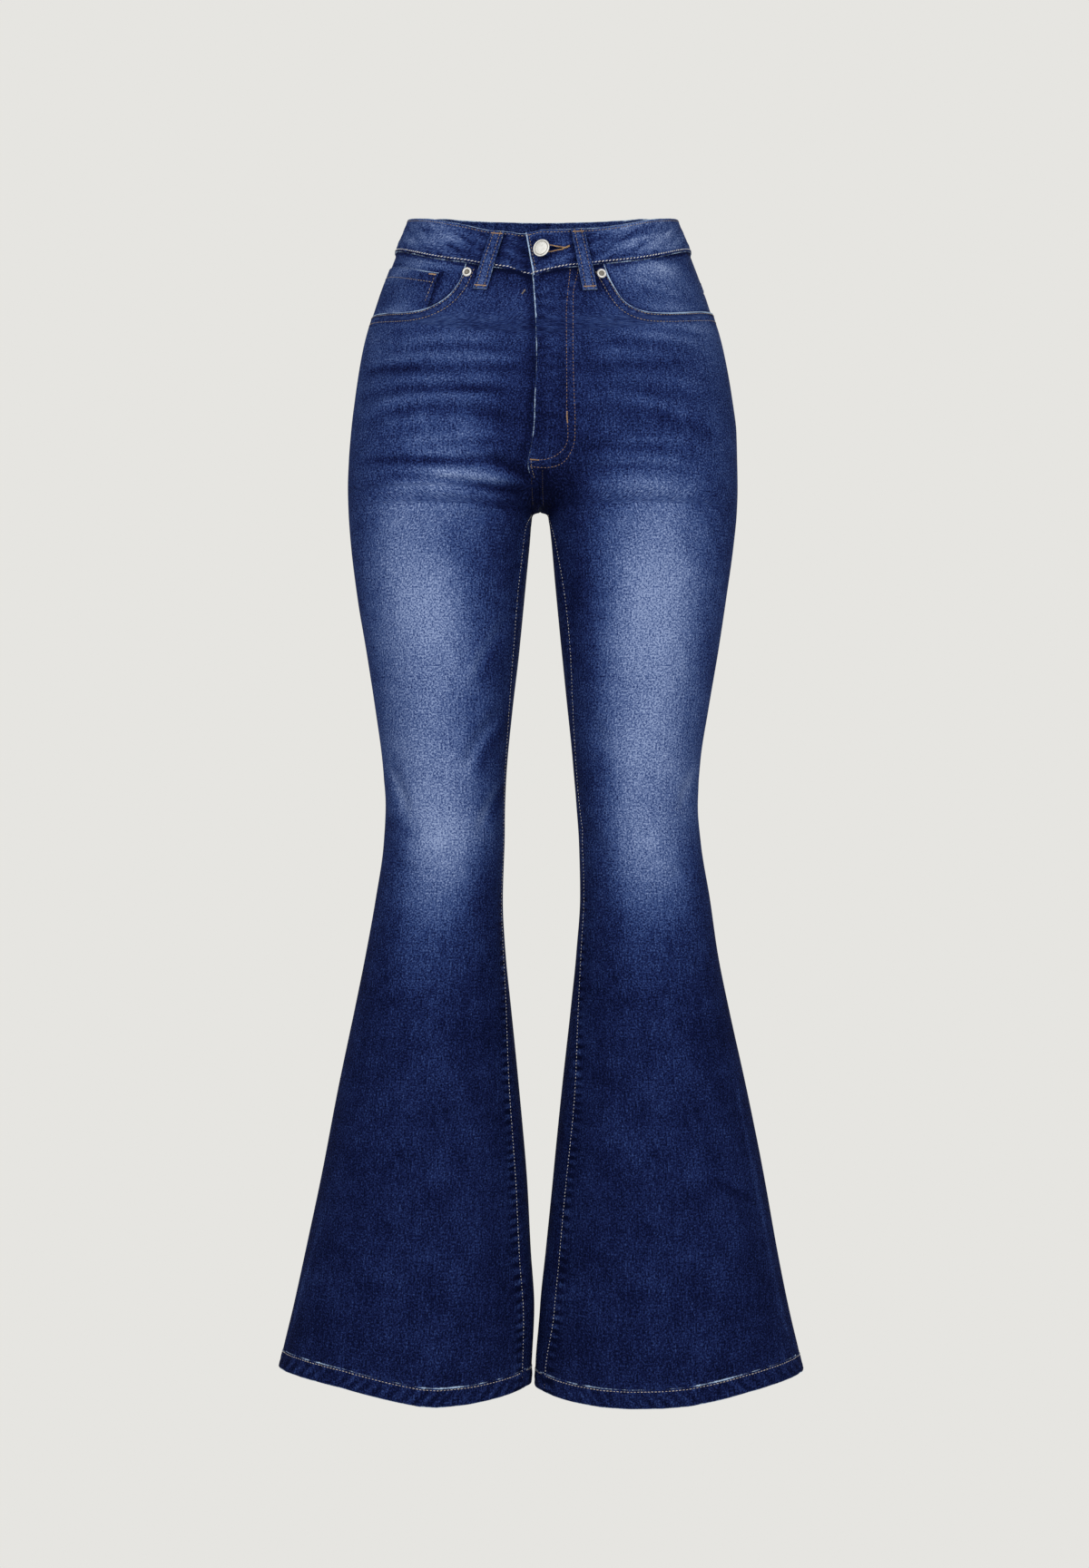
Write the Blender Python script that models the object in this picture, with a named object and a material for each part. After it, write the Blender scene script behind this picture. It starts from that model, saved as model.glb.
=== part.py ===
"""Flared jeans, as worn and filled out: a shell of sewn panels with open waist and cuffs, button, rivets and closed zip."""

import math

import bmesh
import bpy
import numpy as np
from mathutils import Matrix, Vector

# All sizes are in millimetres until a mesh is made. +Z is up, the front faces -Y, +X is the wearer's left.
MM = 0.001
CLOTH = 1.5
SEAM = 0.3
HEM_CLOTH = 3.0
HEM_DEEP = 16.0

# Levels along the garment, measured down from the top of the waistband at the side seams.
CROTCH = -273.0
BAND_SEAM = -34.0
TILT_END = -190.0
HEM = -1063.0
HEM_START = -880.0
FRONT_DIP = 31.0
BACK_LIFT = 19.0
# How far the waist's edge lies off that even curve, by the waist's y, and how much lower its under-end is.
WAIST_SHIFT_COLUMNS = ("waist_y", "shift")
WAIST_SHIFT = (
    (-95.0, -0.2), (-92.0, -0.2), (-88.0, -0.7), (-84.0, -0.3), (-79.0, 0.4), (-72.0, 0.8), (-66.0, 0.3),
    (-61.0, -0.3), (-53.0, -1.7), (-38.0, -3.2), (-21.0, -3.8), (-10.0, -3.0), (0.0, -1.0), (12.0, 0.2),
    (25.0, 1.5), (35.0, 2.9), (45.0, 4.4), (55.0, 5.7), (62.0, 6.2), (68.0, 6.2), (74.0, 5.2), (80.0, 3.8),
    (84.0, 3.0), (88.0, 1.8), (92.0, 0.7), (95.0, 0.0), (98.0, -1.1),
)
UNDER_DROP = 2.6

# The body of the jeans: one row for a level, with the side outlines, the gap between the legs,
# the depths to the front and back, the widest line's y, and how far the seams turn to the front.
SECTION_COLUMNS = (
    "level", "centre", "right_out", "left_out", "half_gap", "front", "back", "mid", "side_turn", "inseam_turn",
)
SECTIONS = (
    (40.0, 0.0, -117.0, 118.0, 0.0, 91.0, 96.0, 0.0, -3.0, 0.0),
    (0.0, 0.0, -123.0, 124.0, 0.0, 92.0, 98.0, 0.0, -3.0, 0.0),
    (-33.0, 0.0, -135.5, 137.0, 0.0, 97.0, 103.0, 0.0, -3.0, 0.0),
    (-75.0, 0.0, -151.6, 152.8, 0.0, 104.0, 110.0, 0.0, -4.0, 0.0),
    (-125.0, -0.5, -165.9, 167.4, 0.0, 110.0, 119.0, -2.0, -5.0, 0.0),
    (-176.0, -1.0, -173.5, 176.0, 0.0, 113.0, 126.0, -6.0, -5.0, 0.0),
    (-201.0, -1.4, -176.0, 178.6, 1.0, 112.0, 125.5, -9.0, -5.0, 0.0),
    (-226.0, -1.8, -177.7, 179.0, 3.0, 109.0, 121.5, -12.0, -5.0, 0.0),
    (-251.0, -2.0, -178.5, 179.3, 5.4, 104.5, 114.5, -14.0, -4.0, 0.0),
    (-273.0, -2.0, -177.9, 178.6, 7.3, 100.0, 107.5, -15.0, -4.0, 0.0),
    (-302.0, -1.5, -176.0, 176.0, 10.0, 96.0, 100.5, -13.0, -3.0, 12.0),
    (-352.0, -1.7, -170.1, 169.3, 14.7, 90.0, 94.0, -10.0, -2.0, 20.0),
    (-403.0, -1.7, -161.7, 161.7, 19.7, 84.0, 86.0, -8.0, -1.0, 21.0),
    (-453.0, -2.1, -154.1, 153.3, 25.2, 78.0, 78.0, -6.0, 0.0, 18.0),
    (-503.0, -2.1, -147.4, 145.7, 30.2, 72.0, 69.0, -5.0, 0.0, 14.0),
    (-541.0, -1.5, -144.6, 143.4, 32.8, 68.0, 62.0, -4.0, 0.0, 13.0),
    (-579.0, -0.5, -146.6, 146.6, 34.4, 64.0, 61.0, -2.0, 1.0, 12.0),
    (-629.0, -0.8, -154.1, 155.0, 35.7, 60.0, 65.0, 1.0, 3.0, 12.0),
    (-680.0, -1.3, -163.4, 162.5, 32.7, 59.0, 68.0, 3.0, 4.0, 13.0),
    (-730.0, -1.3, -173.5, 172.6, 27.7, 60.0, 69.0, 4.0, 5.0, 15.0),
    (-806.0, -1.7, -189.4, 189.4, 19.7, 63.0, 70.0, 4.0, 6.0, 17.0),
    (-881.0, -2.1, -203.7, 204.5, 12.6, 66.0, 71.0, 4.0, 7.0, 16.0),
    (-957.0, -3.8, -219.7, 218.0, 6.7, 69.0, 73.0, 3.0, 9.0, 15.0),
    (-1007.0, -4.8, -230.6, 228.0, 2.6, 71.0, 74.0, 2.0, 10.0, 14.0),
    (-1063.0, -8.2, -244.0, 241.0, 1.6, 74.0, 76.0, 1.0, 11.0, 13.0),
    (-1100.0, -9.0, -251.0, 248.0, 1.5, 75.0, 77.0, 1.0, 11.0, 13.0),
)
LEG_POWER = 2.15
HIP_POWER = 2.2
FRONT_RISE = 58.0
BACK_RISE = 95.0
JOIN_TOP = -150.0
JOIN_LOW = -262.0
BLEND = 0.16
ARCH = 5.0

# How far the cuff hangs below its side, along w: 0 inseam, 0.5 front, 1 side seam, 1.5 back, 2 inseam.
CUFF_COLUMNS = ("w", "drop")
CUFFS = {
    "left": (
        (0.0, 15.2), (0.08, 17.3), (0.15, 19.0), (0.25, 20.8), (0.34, 21.0), (0.46, 19.7), (0.54, 17.8),
        (0.64, 13.2), (0.74, 7.8), (0.84, 3.6), (0.92, 1.2), (1.0, 0.0), (1.14, 4.0), (1.3, 14.0),
        (1.5, 19.0), (1.75, 18.6), (2.0, 15.2),
    ),
    "right": (
        (0.0, 12.0), (0.1, 14.6), (0.25, 18.4), (0.36, 19.6), (0.42, 18.2), (0.5, 14.1), (0.6, 8.4),
        (0.7, 2.8), (0.8, -0.7), (0.9, -3.0), (1.0, -3.3), (1.14, 1.5), (1.3, 12.5), (1.5, 18.5),
        (1.75, 18.0), (2.0, 12.0),
    ),
}

# The large folds: each is a line between two places (x, level), with its depth into the body (a ridge
# is negative), its half width, and the half of the garment that it lies on.
FOLD_COLUMNS = ("half", "x_start", "level_start", "x_end", "level_end", "depth", "wide")
FOLDS = (
    ("front", -164.0, -141.0, -108.0, -150.0, 2.0, 6.0),
    ("front", -164.0, -172.0, -34.0, -180.0, 2.6, 7.0),
    ("front", -157.0, -193.0, -53.0, -204.0, 2.2, 6.5),
    ("front", -153.0, -229.0, -29.0, -247.0, 2.4, 7.0),
    ("front", -100.0, -252.0, -25.0, -263.0, 2.0, 5.5),
    ("front", -146.0, -161.0, -46.0, -166.0, -1.2, 6.0),
    ("front", -106.0, -189.0, -48.0, -192.0, -1.2, 6.0),
    ("front", -146.0, -213.0, -38.0, -225.0, -1.4, 8.0),
    ("front", 159.0, -134.0, 88.0, -140.0, 1.6, 6.0),
    ("front", 167.0, -165.0, 50.0, -184.0, 2.2, 7.0),
    ("front", 157.0, -194.0, 57.0, -210.0, 1.8, 7.0),
    ("front", 146.0, -229.0, 33.0, -253.0, 2.0, 7.0),
    ("front", 146.0, -122.0, 88.0, -127.0, -1.0, 6.0),
    ("front", 155.0, -211.0, 57.0, -228.0, -1.3, 8.0),
    ("front", -27.0, -371.0, -60.0, -422.0, 1.8, 8.0),
    ("front", -33.0, -454.0, -68.0, -508.0, 1.8, 8.0),
    ("front", -37.0, -528.0, -56.0, -567.0, 1.6, 7.0),
    ("front", -139.0, -508.0, -123.0, -551.0, 1.6, 7.0),
    ("front", 139.0, -516.0, 127.0, -547.0, 1.6, 7.0),
    ("front", 29.0, -449.0, 56.0, -491.0, 1.4, 7.0),
    ("front", 35.0, -559.0, 60.0, -598.0, 1.4, 8.0),
    ("front", 171.0, -900.0, 205.0, -920.0, 1.8, 10.0),
    ("front", 62.0, -793.0, 96.0, -830.0, 1.6, 9.0),
    ("front", -60.0, -812.0, -94.0, -853.0, 1.6, 9.0),
    ("back", -150.0, -282.0, -46.0, -300.0, 2.6, 9.0),
    ("back", 150.0, -282.0, 46.0, -300.0, 2.6, 9.0),
    ("back", -140.0, -322.0, -60.0, -340.0, 1.8, 9.0),
    ("back", 140.0, -322.0, 60.0, -340.0, 1.8, 9.0),
    ("back", -136.0, -520.0, -52.0, -534.0, 2.6, 8.0),
    ("back", 136.0, -520.0, 52.0, -534.0, 2.6, 8.0),
    ("back", -130.0, -560.0, -58.0, -550.0, 2.4, 8.0),
    ("back", 130.0, -560.0, 58.0, -550.0, 2.4, 8.0),
    ("back", -138.0, -598.0, -70.0, -580.0, 1.6, 8.0),
    ("back", 138.0, -598.0, 70.0, -580.0, 1.6, 8.0),
)

# The fly edge of the left front, as the distance w past the centre on the right side.
FLY_EDGE_COLUMNS = ("q", "w")
FLY_EDGE = (
    (-273.0, 0.0), (-256.0, 0.0), (-250.0, 0.017), (-244.0, 0.0225), (-240.0, 0.0245), (-235.0, 0.026),
    (-232.0, 0.025), (-188.0, 0.0275), (-149.0, 0.0225), (-96.0, 0.0275), (-44.0, 0.042), (-30.0, 0.045),
)
FLY_LAP = 0.052
LAP_END = -257.0
STEP_END = -264.0
LAP_STEP = 1.95

# The scoop pocket edges, row by row: the row's q at the centre, then the edge's place w and q.
SCOOP_COLUMNS = ("q_centre", "w_edge", "q_edge")
SCOOP_RIGHT = (
    (-34.3, 0.336, -34.3), (-50.0, 0.349, -50.0), (-58.0, 0.364, -58.0), (-66.0, 0.386, -66.5),
    (-74.0, 0.418, -74.5), (-81.5, 0.46, -81.5), (-88.0, 0.515, -87.0), (-94.0, 0.60, -90.6),
    (-100.0, 0.72, -92.2), (-106.0, 0.86, -93.0), (-112.0, 1.0, -93.5),
)
SCOOP_LEFT = (
    (-34.3, 0.266, -34.3), (-50.0, 0.288, -50.0), (-58.0, 0.302, -58.0), (-66.0, 0.318, -66.5),
    (-74.0, 0.342, -75.0), (-81.5, 0.378, -81.8), (-88.0, 0.44, -87.4), (-94.0, 0.55, -90.0),
    (-100.0, 0.70, -90.6), (-106.0, 0.85, -90.4), (-112.0, 1.0, -90.0),
)
# Rows of the fronts below the pockets, as q at the centre and q at the side seam.
HIP_ROWS_FRONT = (
    (-121.0, -104.0), (-130.0, -116.0), (-139.0, -128.0), (-148.0, -140.0), (-157.0, -151.0),
    (-166.0, -162.0), (-175.0, -172.5), (-184.0, -183.0), (-193.0, -192.5), (-202.0, -202.0),
)
HIP_ROWS_BACK = (
    (-67.3, -98.3), (-80.0, -108.0), (-93.0, -118.0), (-106.0, -129.0), (-119.0, -140.0),
    (-132.0, -151.0), (-145.0, -162.0), (-158.0, -173.0), (-172.0, -183.0), (-187.0, -193.0), (-202.0, -202.0),
)
LEG_ROWS = (
    -211.0, -220.0, -229.0, -238.0, -246.0, -254.0, -261.0, -267.0, -271.0, -273.0, -275.5,
    -281.0, -290.0, -302.0, -320.0, -344.0, -370.0, -396.0, -422.0, -448.0, -474.0, -498.0, -519.0,
    -538.0, -555.0, -576.0, -602.0, -634.0, -670.0, -708.0, -748.0, -788.0, -826.0, -862.0, -900.0, -940.0,
    -982.0, -1022.0,
)
FRONT_STEPS = (0.0, 0.07, 0.15, 0.24, 0.33, 0.42, 0.51, 0.60, 0.69, 0.78, 0.86, 0.93, 1.0)
BACK_STEPS = (0.0, 0.08, 0.17, 0.26, 0.36, 0.46, 0.56, 0.66, 0.76, 0.86, 0.94, 1.0)

# The waistband's lower seam dips towards the button.
LEFT_SEAM = ((-0.2, -42.5), (-0.04, -42.5), (0.03, -38.6), (0.1, -35.6), (0.25, -34.0), (2.0, -34.0))
RIGHT_SEAM = ((-0.2, -42.5), (0.075, -42.5), (0.1, -38.2), (0.35, -34.0), (2.0, -34.0))
BAND_OUT = 0.8
BAND_IN = -2.2
UNDER_STEP = 3.4
YOKE_SEAM_SIDE = -67.0
YOKE_SEAM_BACK = -98.0

FACING_COLUMNS = ("w_front", "q_front", "q_side")
FACING_RIGHT = (
    (0.27, -34.3, -34.3), (0.276, -50.0, -44.0), (0.296, -64.0, -54.0), (0.33, -77.0, -64.0),
    (0.385, -90.0, -75.0), (0.45, -98.0, -86.0), (0.56, -104.0, -97.0), (0.74, -106.5, -107.5),
)
FACING_LEFT = (
    (0.195, -34.3, -34.3), (0.212, -48.0, -44.0), (0.232, -62.0, -54.0), (0.265, -76.0, -64.0),
    (0.32, -89.0, -75.0), (0.40, -98.0, -86.0), (0.52, -103.0, -96.0), (0.72, -104.5, -104.5),
)
FACING_OUT = -2.7
FACING_IN = -4.0
COIN_OUT = -0.8
COIN_IN = -2.1

# Belt loops: side, w and q at the top, w and q at the bottom.
LOOP_WIDE = 12.0
LOOP_CLOTH = 1.6
LOOPS = {
    "belt_loop_front_right": ("right", 0.205, 0.257),
    "belt_loop_front_left": ("left", 0.162, 0.195),
    "belt_loop_side_left": ("left", 1.13, 1.12),
    "belt_loop_side_right": ("right", 1.18, 1.17),
    "belt_loop_back": ("left", 2.0, 2.0),
}
LOOP_COLUMNS = ("q", "lift")
LOOP_PATH = (
    (-0.5, 1.2), (-2.5, 1.3), (-6.0, 1.9), (-11.0, 2.5), (-18.0, 2.7), (-27.0, 2.7), (-36.0, 2.5),
    (-41.0, 2.0), (-46.0, 1.0), (-50.0, 0.45), (-59.0, 0.45),
)

POCKET_W = 1.633
POCKET_TOP = -108.0
POCKET_SIDE = -206.0
POCKET_TIP = -226.0
POCKET_WIDE_TOP = 68.0
POCKET_WIDE_LOW = 57.0

BUTTON_Q = -18.5
BUTTON_W = 0.003
RIVET_Q = -43.0
RIVET_W = {"rivet_right": ("right", 0.322), "rivet_left": ("left", 0.25)}

LEVELS = np.concatenate([
    np.arange(40.0, -240.0, -5.0), np.arange(-240.0, -264.0, -3.0),
    (-264.0, -266.0, -268.0, -270.0, -271.4, -272.4, -273.0, -273.6, -274.6, -276.0, -278.0, -280.5),
    np.arange(-283.0, -300.0, -4.0), np.arange(-303.0, -1101.0, -8.0)])
ACROSS = 60


# ---- The surface -------------------------------------------------------------------------------

def column(name, level):
    """One column of SECTIONS at a level, by monotone cubic pieces."""
    rows = np.array(SECTIONS)[::-1]
    x = rows[:, 0]
    y = rows[:, SECTION_COLUMNS.index(name)]
    step = np.diff(x)
    rise = np.diff(y) / step
    slope = np.concatenate([rise[:1], np.zeros(len(rise) - 1), rise[-1:]])
    same = rise[:-1] * rise[1:] > 0
    total = np.where(same, rise[:-1] + rise[1:], 1.0)
    slope[1:-1] = np.where(same, 2 * rise[:-1] * rise[1:] / total, 0.0)
    i = int(np.clip(np.searchsorted(x, level, "right") - 1, 0, len(step) - 1))
    t = (level - x[i]) / step[i]
    start = (1 + 2 * t) * (1 - t) ** 2 * y[i] + t * (1 - t) ** 2 * step[i] * slope[i]
    end = t * t * (3 - 2 * t) * y[i + 1] + t * t * (t - 1) * step[i] * slope[i + 1]
    return float(start + end)


def ease(t):
    """0 to 1 with level ends."""
    t = np.clip(t, 0.0, 1.0)
    return t * t * (3 - 2 * t)


def quarter(t):
    """A quarter circle's height over its run t, from 0 to 1."""
    t = min(1.0, max(0.0, t))
    return math.sqrt(1 - (1 - t) ** 2)


def section(side, level):
    """The (x, y) of one side at one level, along w from 0 to 1 at the front and on to 2 at the back."""
    sign = 1.0 if side == "left" else -1.0
    centre = column("centre", level)
    outer = sign * (column(side + "_out", level) - centre)
    front = column("front", level)
    back = column("back", level)
    mid = column("mid", level)
    above = level > CROTCH
    inner = column("half_gap", level)
    leg_x = 0.5 * (inner + outer)
    leg_a = 0.5 * (outer - inner)
    join = float(ease((JOIN_TOP - level) / (JOIN_TOP - JOIN_LOW)))
    hip_a = outer * (1 - 0.35 * join)
    lift = 0.22 * (1 - join)
    hip_front = max(0.4, (front + mid) * quarter((level - CROTCH) / FRONT_RISE))
    hip_back = max(0.4, (back - mid) * quarter((level - CROTCH) / BACK_RISE))

    def field(x, y):
        dy = y - mid
        leg_b = np.where(dy < 0, front + mid, back - mid)
        leg = ((abs(x - leg_x) / leg_a) ** LEG_POWER + (abs(dy) / leg_b) ** LEG_POWER) ** (1 / LEG_POWER) - 1
        if not above:
            return leg
        hip_b = np.where(dy < 0, hip_front, hip_back)
        hip = ((abs(x) / hip_a) ** HIP_POWER + (abs(dy) / hip_b) ** HIP_POWER) ** (1 / HIP_POWER) - 1
        leg = leg + lift
        near = np.clip(0.5 + 0.5 * (leg - hip) / BLEND, 0, 1)
        return leg * (1 - near) + hip * near - BLEND * near * (1 - near)

    def reach(x0, y0, dx, dy):
        low = np.zeros(np.shape(dx))
        high = np.full(np.shape(dx), 330.0)
        for _ in range(34):
            half = 0.5 * (low + high)
            inside = field(x0 + half * dx, y0 + half * dy) < 0
            low = np.where(inside, half, low)
            high = np.where(inside, high, half)
        return 0.5 * (low + high)

    if above:
        run = reach(0.0, mid, np.zeros(2), np.array((-1.0, 1.0)))
        first = math.pi - math.atan2(run[0], leg_x)
        last = -math.pi + math.atan2(run[1], leg_x)
    else:
        first = math.pi - math.radians(column("inseam_turn", level))
        last = first - 2 * math.pi
    turn = math.radians(column("side_turn", level))
    halves = []
    for start, end in ((first, turn), (turn, last)):
        angle = np.linspace(start, end, 481)
        dx = np.cos(angle)
        dy = -np.sin(angle)
        run = reach(leg_x, mid, dx, dy)
        halves.append(np.stack([leg_x + run * dx, run * dy], 1))
    far = max(halves[0][:, 0].max(), halves[1][:, 0].max())
    low = min(halves[0][:, 1].min(), halves[1][:, 1].min())
    high = max(halves[0][:, 1].max(), halves[1][:, 1].max())
    # Under the crotch the inner edge runs up to the centre in an arch.
    arch = 0.0 if above else inner * (1 - quarter((CROTCH - level) / ARCH))
    # The folds between the legs take less of w than their length, so that w runs straight down.
    close = float(ease((level + 340.0) / 60.0) * ease((-195.0 - level) / 50.0))
    rows = []
    for points in halves:
        points[:, 0] *= outer / far
        if not above:
            points[:, 1] *= np.where(points[:, 1] < 0, (-front - mid) / low, (back - mid) / high)
            inside = np.clip((leg_x - points[:, 0]) / leg_a, 0, 1) ** 4
            points[:, 0] -= arch * inside * np.exp(-(points[:, 1] / 11.0) ** 2)
        middle = 0.5 * (points[1:, 0] + points[:-1, 0])
        weight = 1 - 0.6 * close * (1 - ease(middle / 40.0))
        run = np.concatenate([[0.0], np.cumsum(weight * np.hypot(*np.diff(points, axis=0).T))])
        want = np.linspace(0, run[-1], ACROSS + 1)
        x = np.interp(want, run, points[:, 0])
        y = np.interp(want, run, points[:, 1])
        rows.append(np.stack([centre + sign * x, mid + y], 1))
    return np.concatenate([rows[0], rows[1][1:]])


def normals_of(grids):
    """Outward unit normals of the two sides' grids, shared along every seam."""
    totals = {}
    for side, grid in grids.items():
        face = np.cross(grid[1:, 1:] - grid[:-1, :-1], grid[1:, :-1] - grid[:-1, 1:])
        if side == "left":
            face = -face
        total = np.zeros_like(grid)
        for rows in (slice(0, -1), slice(1, None)):
            for columns in (slice(0, -1), slice(1, None)):
                total[rows, columns] += face
        totals[side] = total
    above = LEVELS > CROTCH + 0.01
    below = LEVELS < CROTCH - 0.01
    level = ~above & ~below
    left = totals["left"]
    right = totals["right"]
    for edge in (0, -1):
        both = left[:, edge] + right[:, edge]
        left[above, edge] = both[above]
        right[above, edge] = both[above]
    every = left[:, 0] + left[:, -1] + right[:, 0] + right[:, -1]
    for total in (left, right):
        both = total[:, 0] + total[:, -1]
        for edge in (0, -1):
            total[below, edge] = both[below]
            total[level, edge] = every[level]
    return {side: t / np.maximum(np.linalg.norm(t, axis=2, keepdims=True), 1e-9) for side, t in totals.items()}


def fold_depth(points, half):
    """How far the folds of one half push the points into the body."""
    depth = np.zeros(points.shape[:-1])
    for fold in FOLDS:
        at = dict(zip(FOLD_COLUMNS, fold))
        if at["half"] != half:
            continue
        start = np.array((at["x_start"], at["level_start"]))
        along = np.array((at["x_end"], at["level_end"])) - start
        place = points[..., (0, 2)] - start
        t = place @ along / (along @ along)
        across = place - np.clip(t, 0, 1)[..., None] * along
        end_fade = np.clip(np.minimum(t, 1 - t) / 0.25 + 0.35, 0, 1)
        depth += at["depth"] * end_fade * np.exp(-(across ** 2).sum(-1) / at["wide"] ** 2)
    return depth


def make_surface():
    """For each side, a table of points and of normals over LEVELS and w."""
    grids = {}
    for side in ("left", "right"):
        grid = np.zeros((len(LEVELS), 2 * ACROSS + 1, 3))
        for i, level in enumerate(LEVELS):
            grid[i, :, :2] = section(side, level)
            grid[i, :, 2] = level
        grids[side] = grid
    normals = normals_of(grids)
    w = np.linspace(0, 2, 2 * ACROSS + 1)
    # The folds fade out at the seams, where the layers hold the cloth.
    hold = ease(np.minimum(np.minimum(abs(w), abs(w - 1)), abs(w - 2)) / 0.1)
    for side, grid in grids.items():
        depth = np.where(w < 1, fold_depth(grid, "front"), fold_depth(grid, "back")) * hold
        grid -= normals[side] * depth[..., None]
    normals = normals_of(grids)
    return {side: (grids[side], normals[side]) for side in grids}


def look_up(table, w, level):
    """The table's value at w and level, between its rows and columns."""
    i = np.clip(np.searchsorted(-LEVELS, -level, "right") - 1, 0, len(LEVELS) - 2)
    t = ((level - LEVELS[i]) / (LEVELS[i + 1] - LEVELS[i]))[..., None]
    s = np.clip(w * ACROSS, 0, 2 * ACROSS - 1e-9)
    j = s.astype(int)
    f = (s - j)[..., None]
    top = table[i, j] * (1 - f) + table[i, j + 1] * f
    low = table[i + 1, j] * (1 - f) + table[i + 1, j + 1] * f
    return top * (1 - t) + low * t


SURFACE = make_surface()


def between(rows, at):
    """The second column of rows at the given values of the first."""
    ordered = sorted(rows)
    return np.interp(at, [row[0] for row in ordered], [row[1] for row in ordered])


def level_of(side, w, q):
    """The level of a place (w, q): q runs down the cloth, along the tilted waist and the curved cuff."""
    waist = look_up(SURFACE[side][0], w, np.zeros(w.shape))[..., 1]
    dip = np.where(waist < 0, -FRONT_DIP * (waist / 92.0) ** 2, BACK_LIFT * (waist / 98.0) ** 2)
    hold = ease((q - TILT_END) / (BAND_SEAM - TILT_END))
    # Only the band's top edge is shifted, not its seam.
    top = np.clip(1 - q / BAND_SEAM, 0, 1)
    shift = between(WAIST_SHIFT, waist) * top
    if side == "right":
        shift = shift - UNDER_DROP * top * ease(w / 0.06) * (1 - ease((w - 0.2) / 0.2))
    return q + dip * hold + shift - between(CUFFS[side], w) * ease((HEM_START - q) / (HEM_START - HEM))


def skin(side, w, q, out):
    """Points on the cloth's form, moved out by `out`. A w below 0 or over 2 goes on round the other side."""
    w, q, out = np.broadcast_arrays(np.asarray(w, float), np.asarray(q, float), np.asarray(out, float))
    other = "right" if side == "left" else "left"
    over = (w < 0) | (w > 2)
    turned = np.where(w < 0, -w, np.where(w > 2, 4 - w, w))
    places = []
    for name in (side, other):
        level = level_of(name, turned, q)
        point = look_up(SURFACE[name][0], turned, level)
        normal = look_up(SURFACE[name][1], turned, level)
        normal = normal / np.linalg.norm(normal, axis=-1, keepdims=True)
        places.append(point + normal * out[..., None])
    return np.where(over[..., None], places[1], places[0])


def length_of(side, q, start, end):
    """The length of the cloth at q between two values of w."""
    w = np.linspace(start, end, 40)
    points = skin(side, w, np.full(40, q), 0.0)
    return float(np.linalg.norm(np.diff(points, axis=0), axis=1).sum())


# ---- Meshes ------------------------------------------------------------------------------------

def clear_scene():
    for obj in list(bpy.data.objects):
        bpy.data.objects.remove(obj)


def collection_of(name, hidden=False):
    group = bpy.data.collections.new(name)
    bpy.context.scene.collection.children.link(group)
    group.hide_render = hidden
    return group


def paint(obj, colour, metallic, roughness):
    material = bpy.data.materials.new(obj.name)
    material.use_nodes = True
    shader = material.node_tree.nodes["Principled BSDF"]
    shader.inputs["Base Color"].default_value = (*colour, 1.0)
    shader.inputs["Metallic"].default_value = metallic
    shader.inputs["Roughness"].default_value = roughness
    obj.data.materials.append(material)


def object_of(name, vertices, faces, hidden=False):
    """A mesh object from points in millimetres, in a collection of its own name, with outward faces."""
    mesh = bpy.data.meshes.new(name)
    mesh.from_pydata([tuple(v) for v in np.asarray(vertices) * MM], [], faces)
    work = bmesh.new()
    work.from_mesh(mesh)
    bmesh.ops.recalc_face_normals(work, faces=work.faces)
    work.to_mesh(mesh)
    work.free()
    obj = bpy.data.objects.new(name, mesh)
    collection_of(name, hidden).objects.link(obj)
    return obj


def slab(name, outer, inner, hidden=False):
    """A closed loft between an outer and an inner grid of points, joined round its four edges."""
    rows, columns = outer.shape[:2]
    vertices = np.concatenate([outer.reshape(-1, 3), inner.reshape(-1, 3)])
    shift = rows * columns
    faces = []
    for i in range(rows - 1):
        for j in range(columns - 1):
            a = i * columns + j
            faces.append((a, a + 1, a + columns + 1, a + columns))
            faces.append((a + shift, a + columns + shift, a + columns + 1 + shift, a + 1 + shift))
    rim = [j for j in range(columns)]
    rim += [i * columns + columns - 1 for i in range(1, rows)]
    rim += [(rows - 1) * columns + j for j in range(columns - 2, -1, -1)]
    rim += [i * columns for i in range(rows - 2, 0, -1)]
    for a, b in zip(rim, rim[1:] + rim[:1]):
        faces.append((a, a + shift, b + shift, b))
    return object_of(name, vertices, faces, hidden)


def turned(name, place, up, profile, steps):
    """A body of revolution: profile is (radius, height) from the lowest centre to the highest centre."""
    z = Vector(up).normalized()
    x = z.orthogonal().normalized()
    y = z.cross(x)
    vertices = []
    for radius, height in profile:
        count = 1 if radius == 0 else steps
        for k in range(count):
            angle = 2 * math.pi * k / steps
            offset = radius * (math.cos(angle) * x + math.sin(angle) * y) + height * z
            vertices.append(Vector(place) + offset)
    faces = []
    start = 0
    for (r0, _), (r1, _) in zip(profile, profile[1:]):
        n0 = 1 if r0 == 0 else steps
        n1 = 1 if r1 == 0 else steps
        for k in range(steps):
            a = start + k % n0
            b = start + (k + 1) % n0
            c = start + n0 + (k + 1) % n1
            d = start + n0 + k % n1
            faces.append(tuple(dict.fromkeys((a, b, c, d))))
        start += n0
    obj = object_of(name, np.array([tuple(v) for v in vertices]), faces)
    for face in obj.data.polygons:
        face.use_smooth = True
    return obj


# ---- Panels ------------------------------------------------------------------------------------

DENIM = (0.035, 0.055, 0.13)
METAL = (0.72, 0.70, 0.66)


def leg_rows():
    """(q, thickness) of the rows from the hip down to the cuff, with the turned-up hem's step."""
    rows = [(q, CLOTH) for q in LEG_ROWS]
    rows.append((HEM + HEM_DEEP + 0.6, CLOTH))
    rows.append((HEM + HEM_DEEP, HEM_CLOTH))
    rows.append((HEM + 0.8, HEM_CLOTH))
    rows.append((HEM, HEM_CLOTH - 0.6))
    return rows


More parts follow.
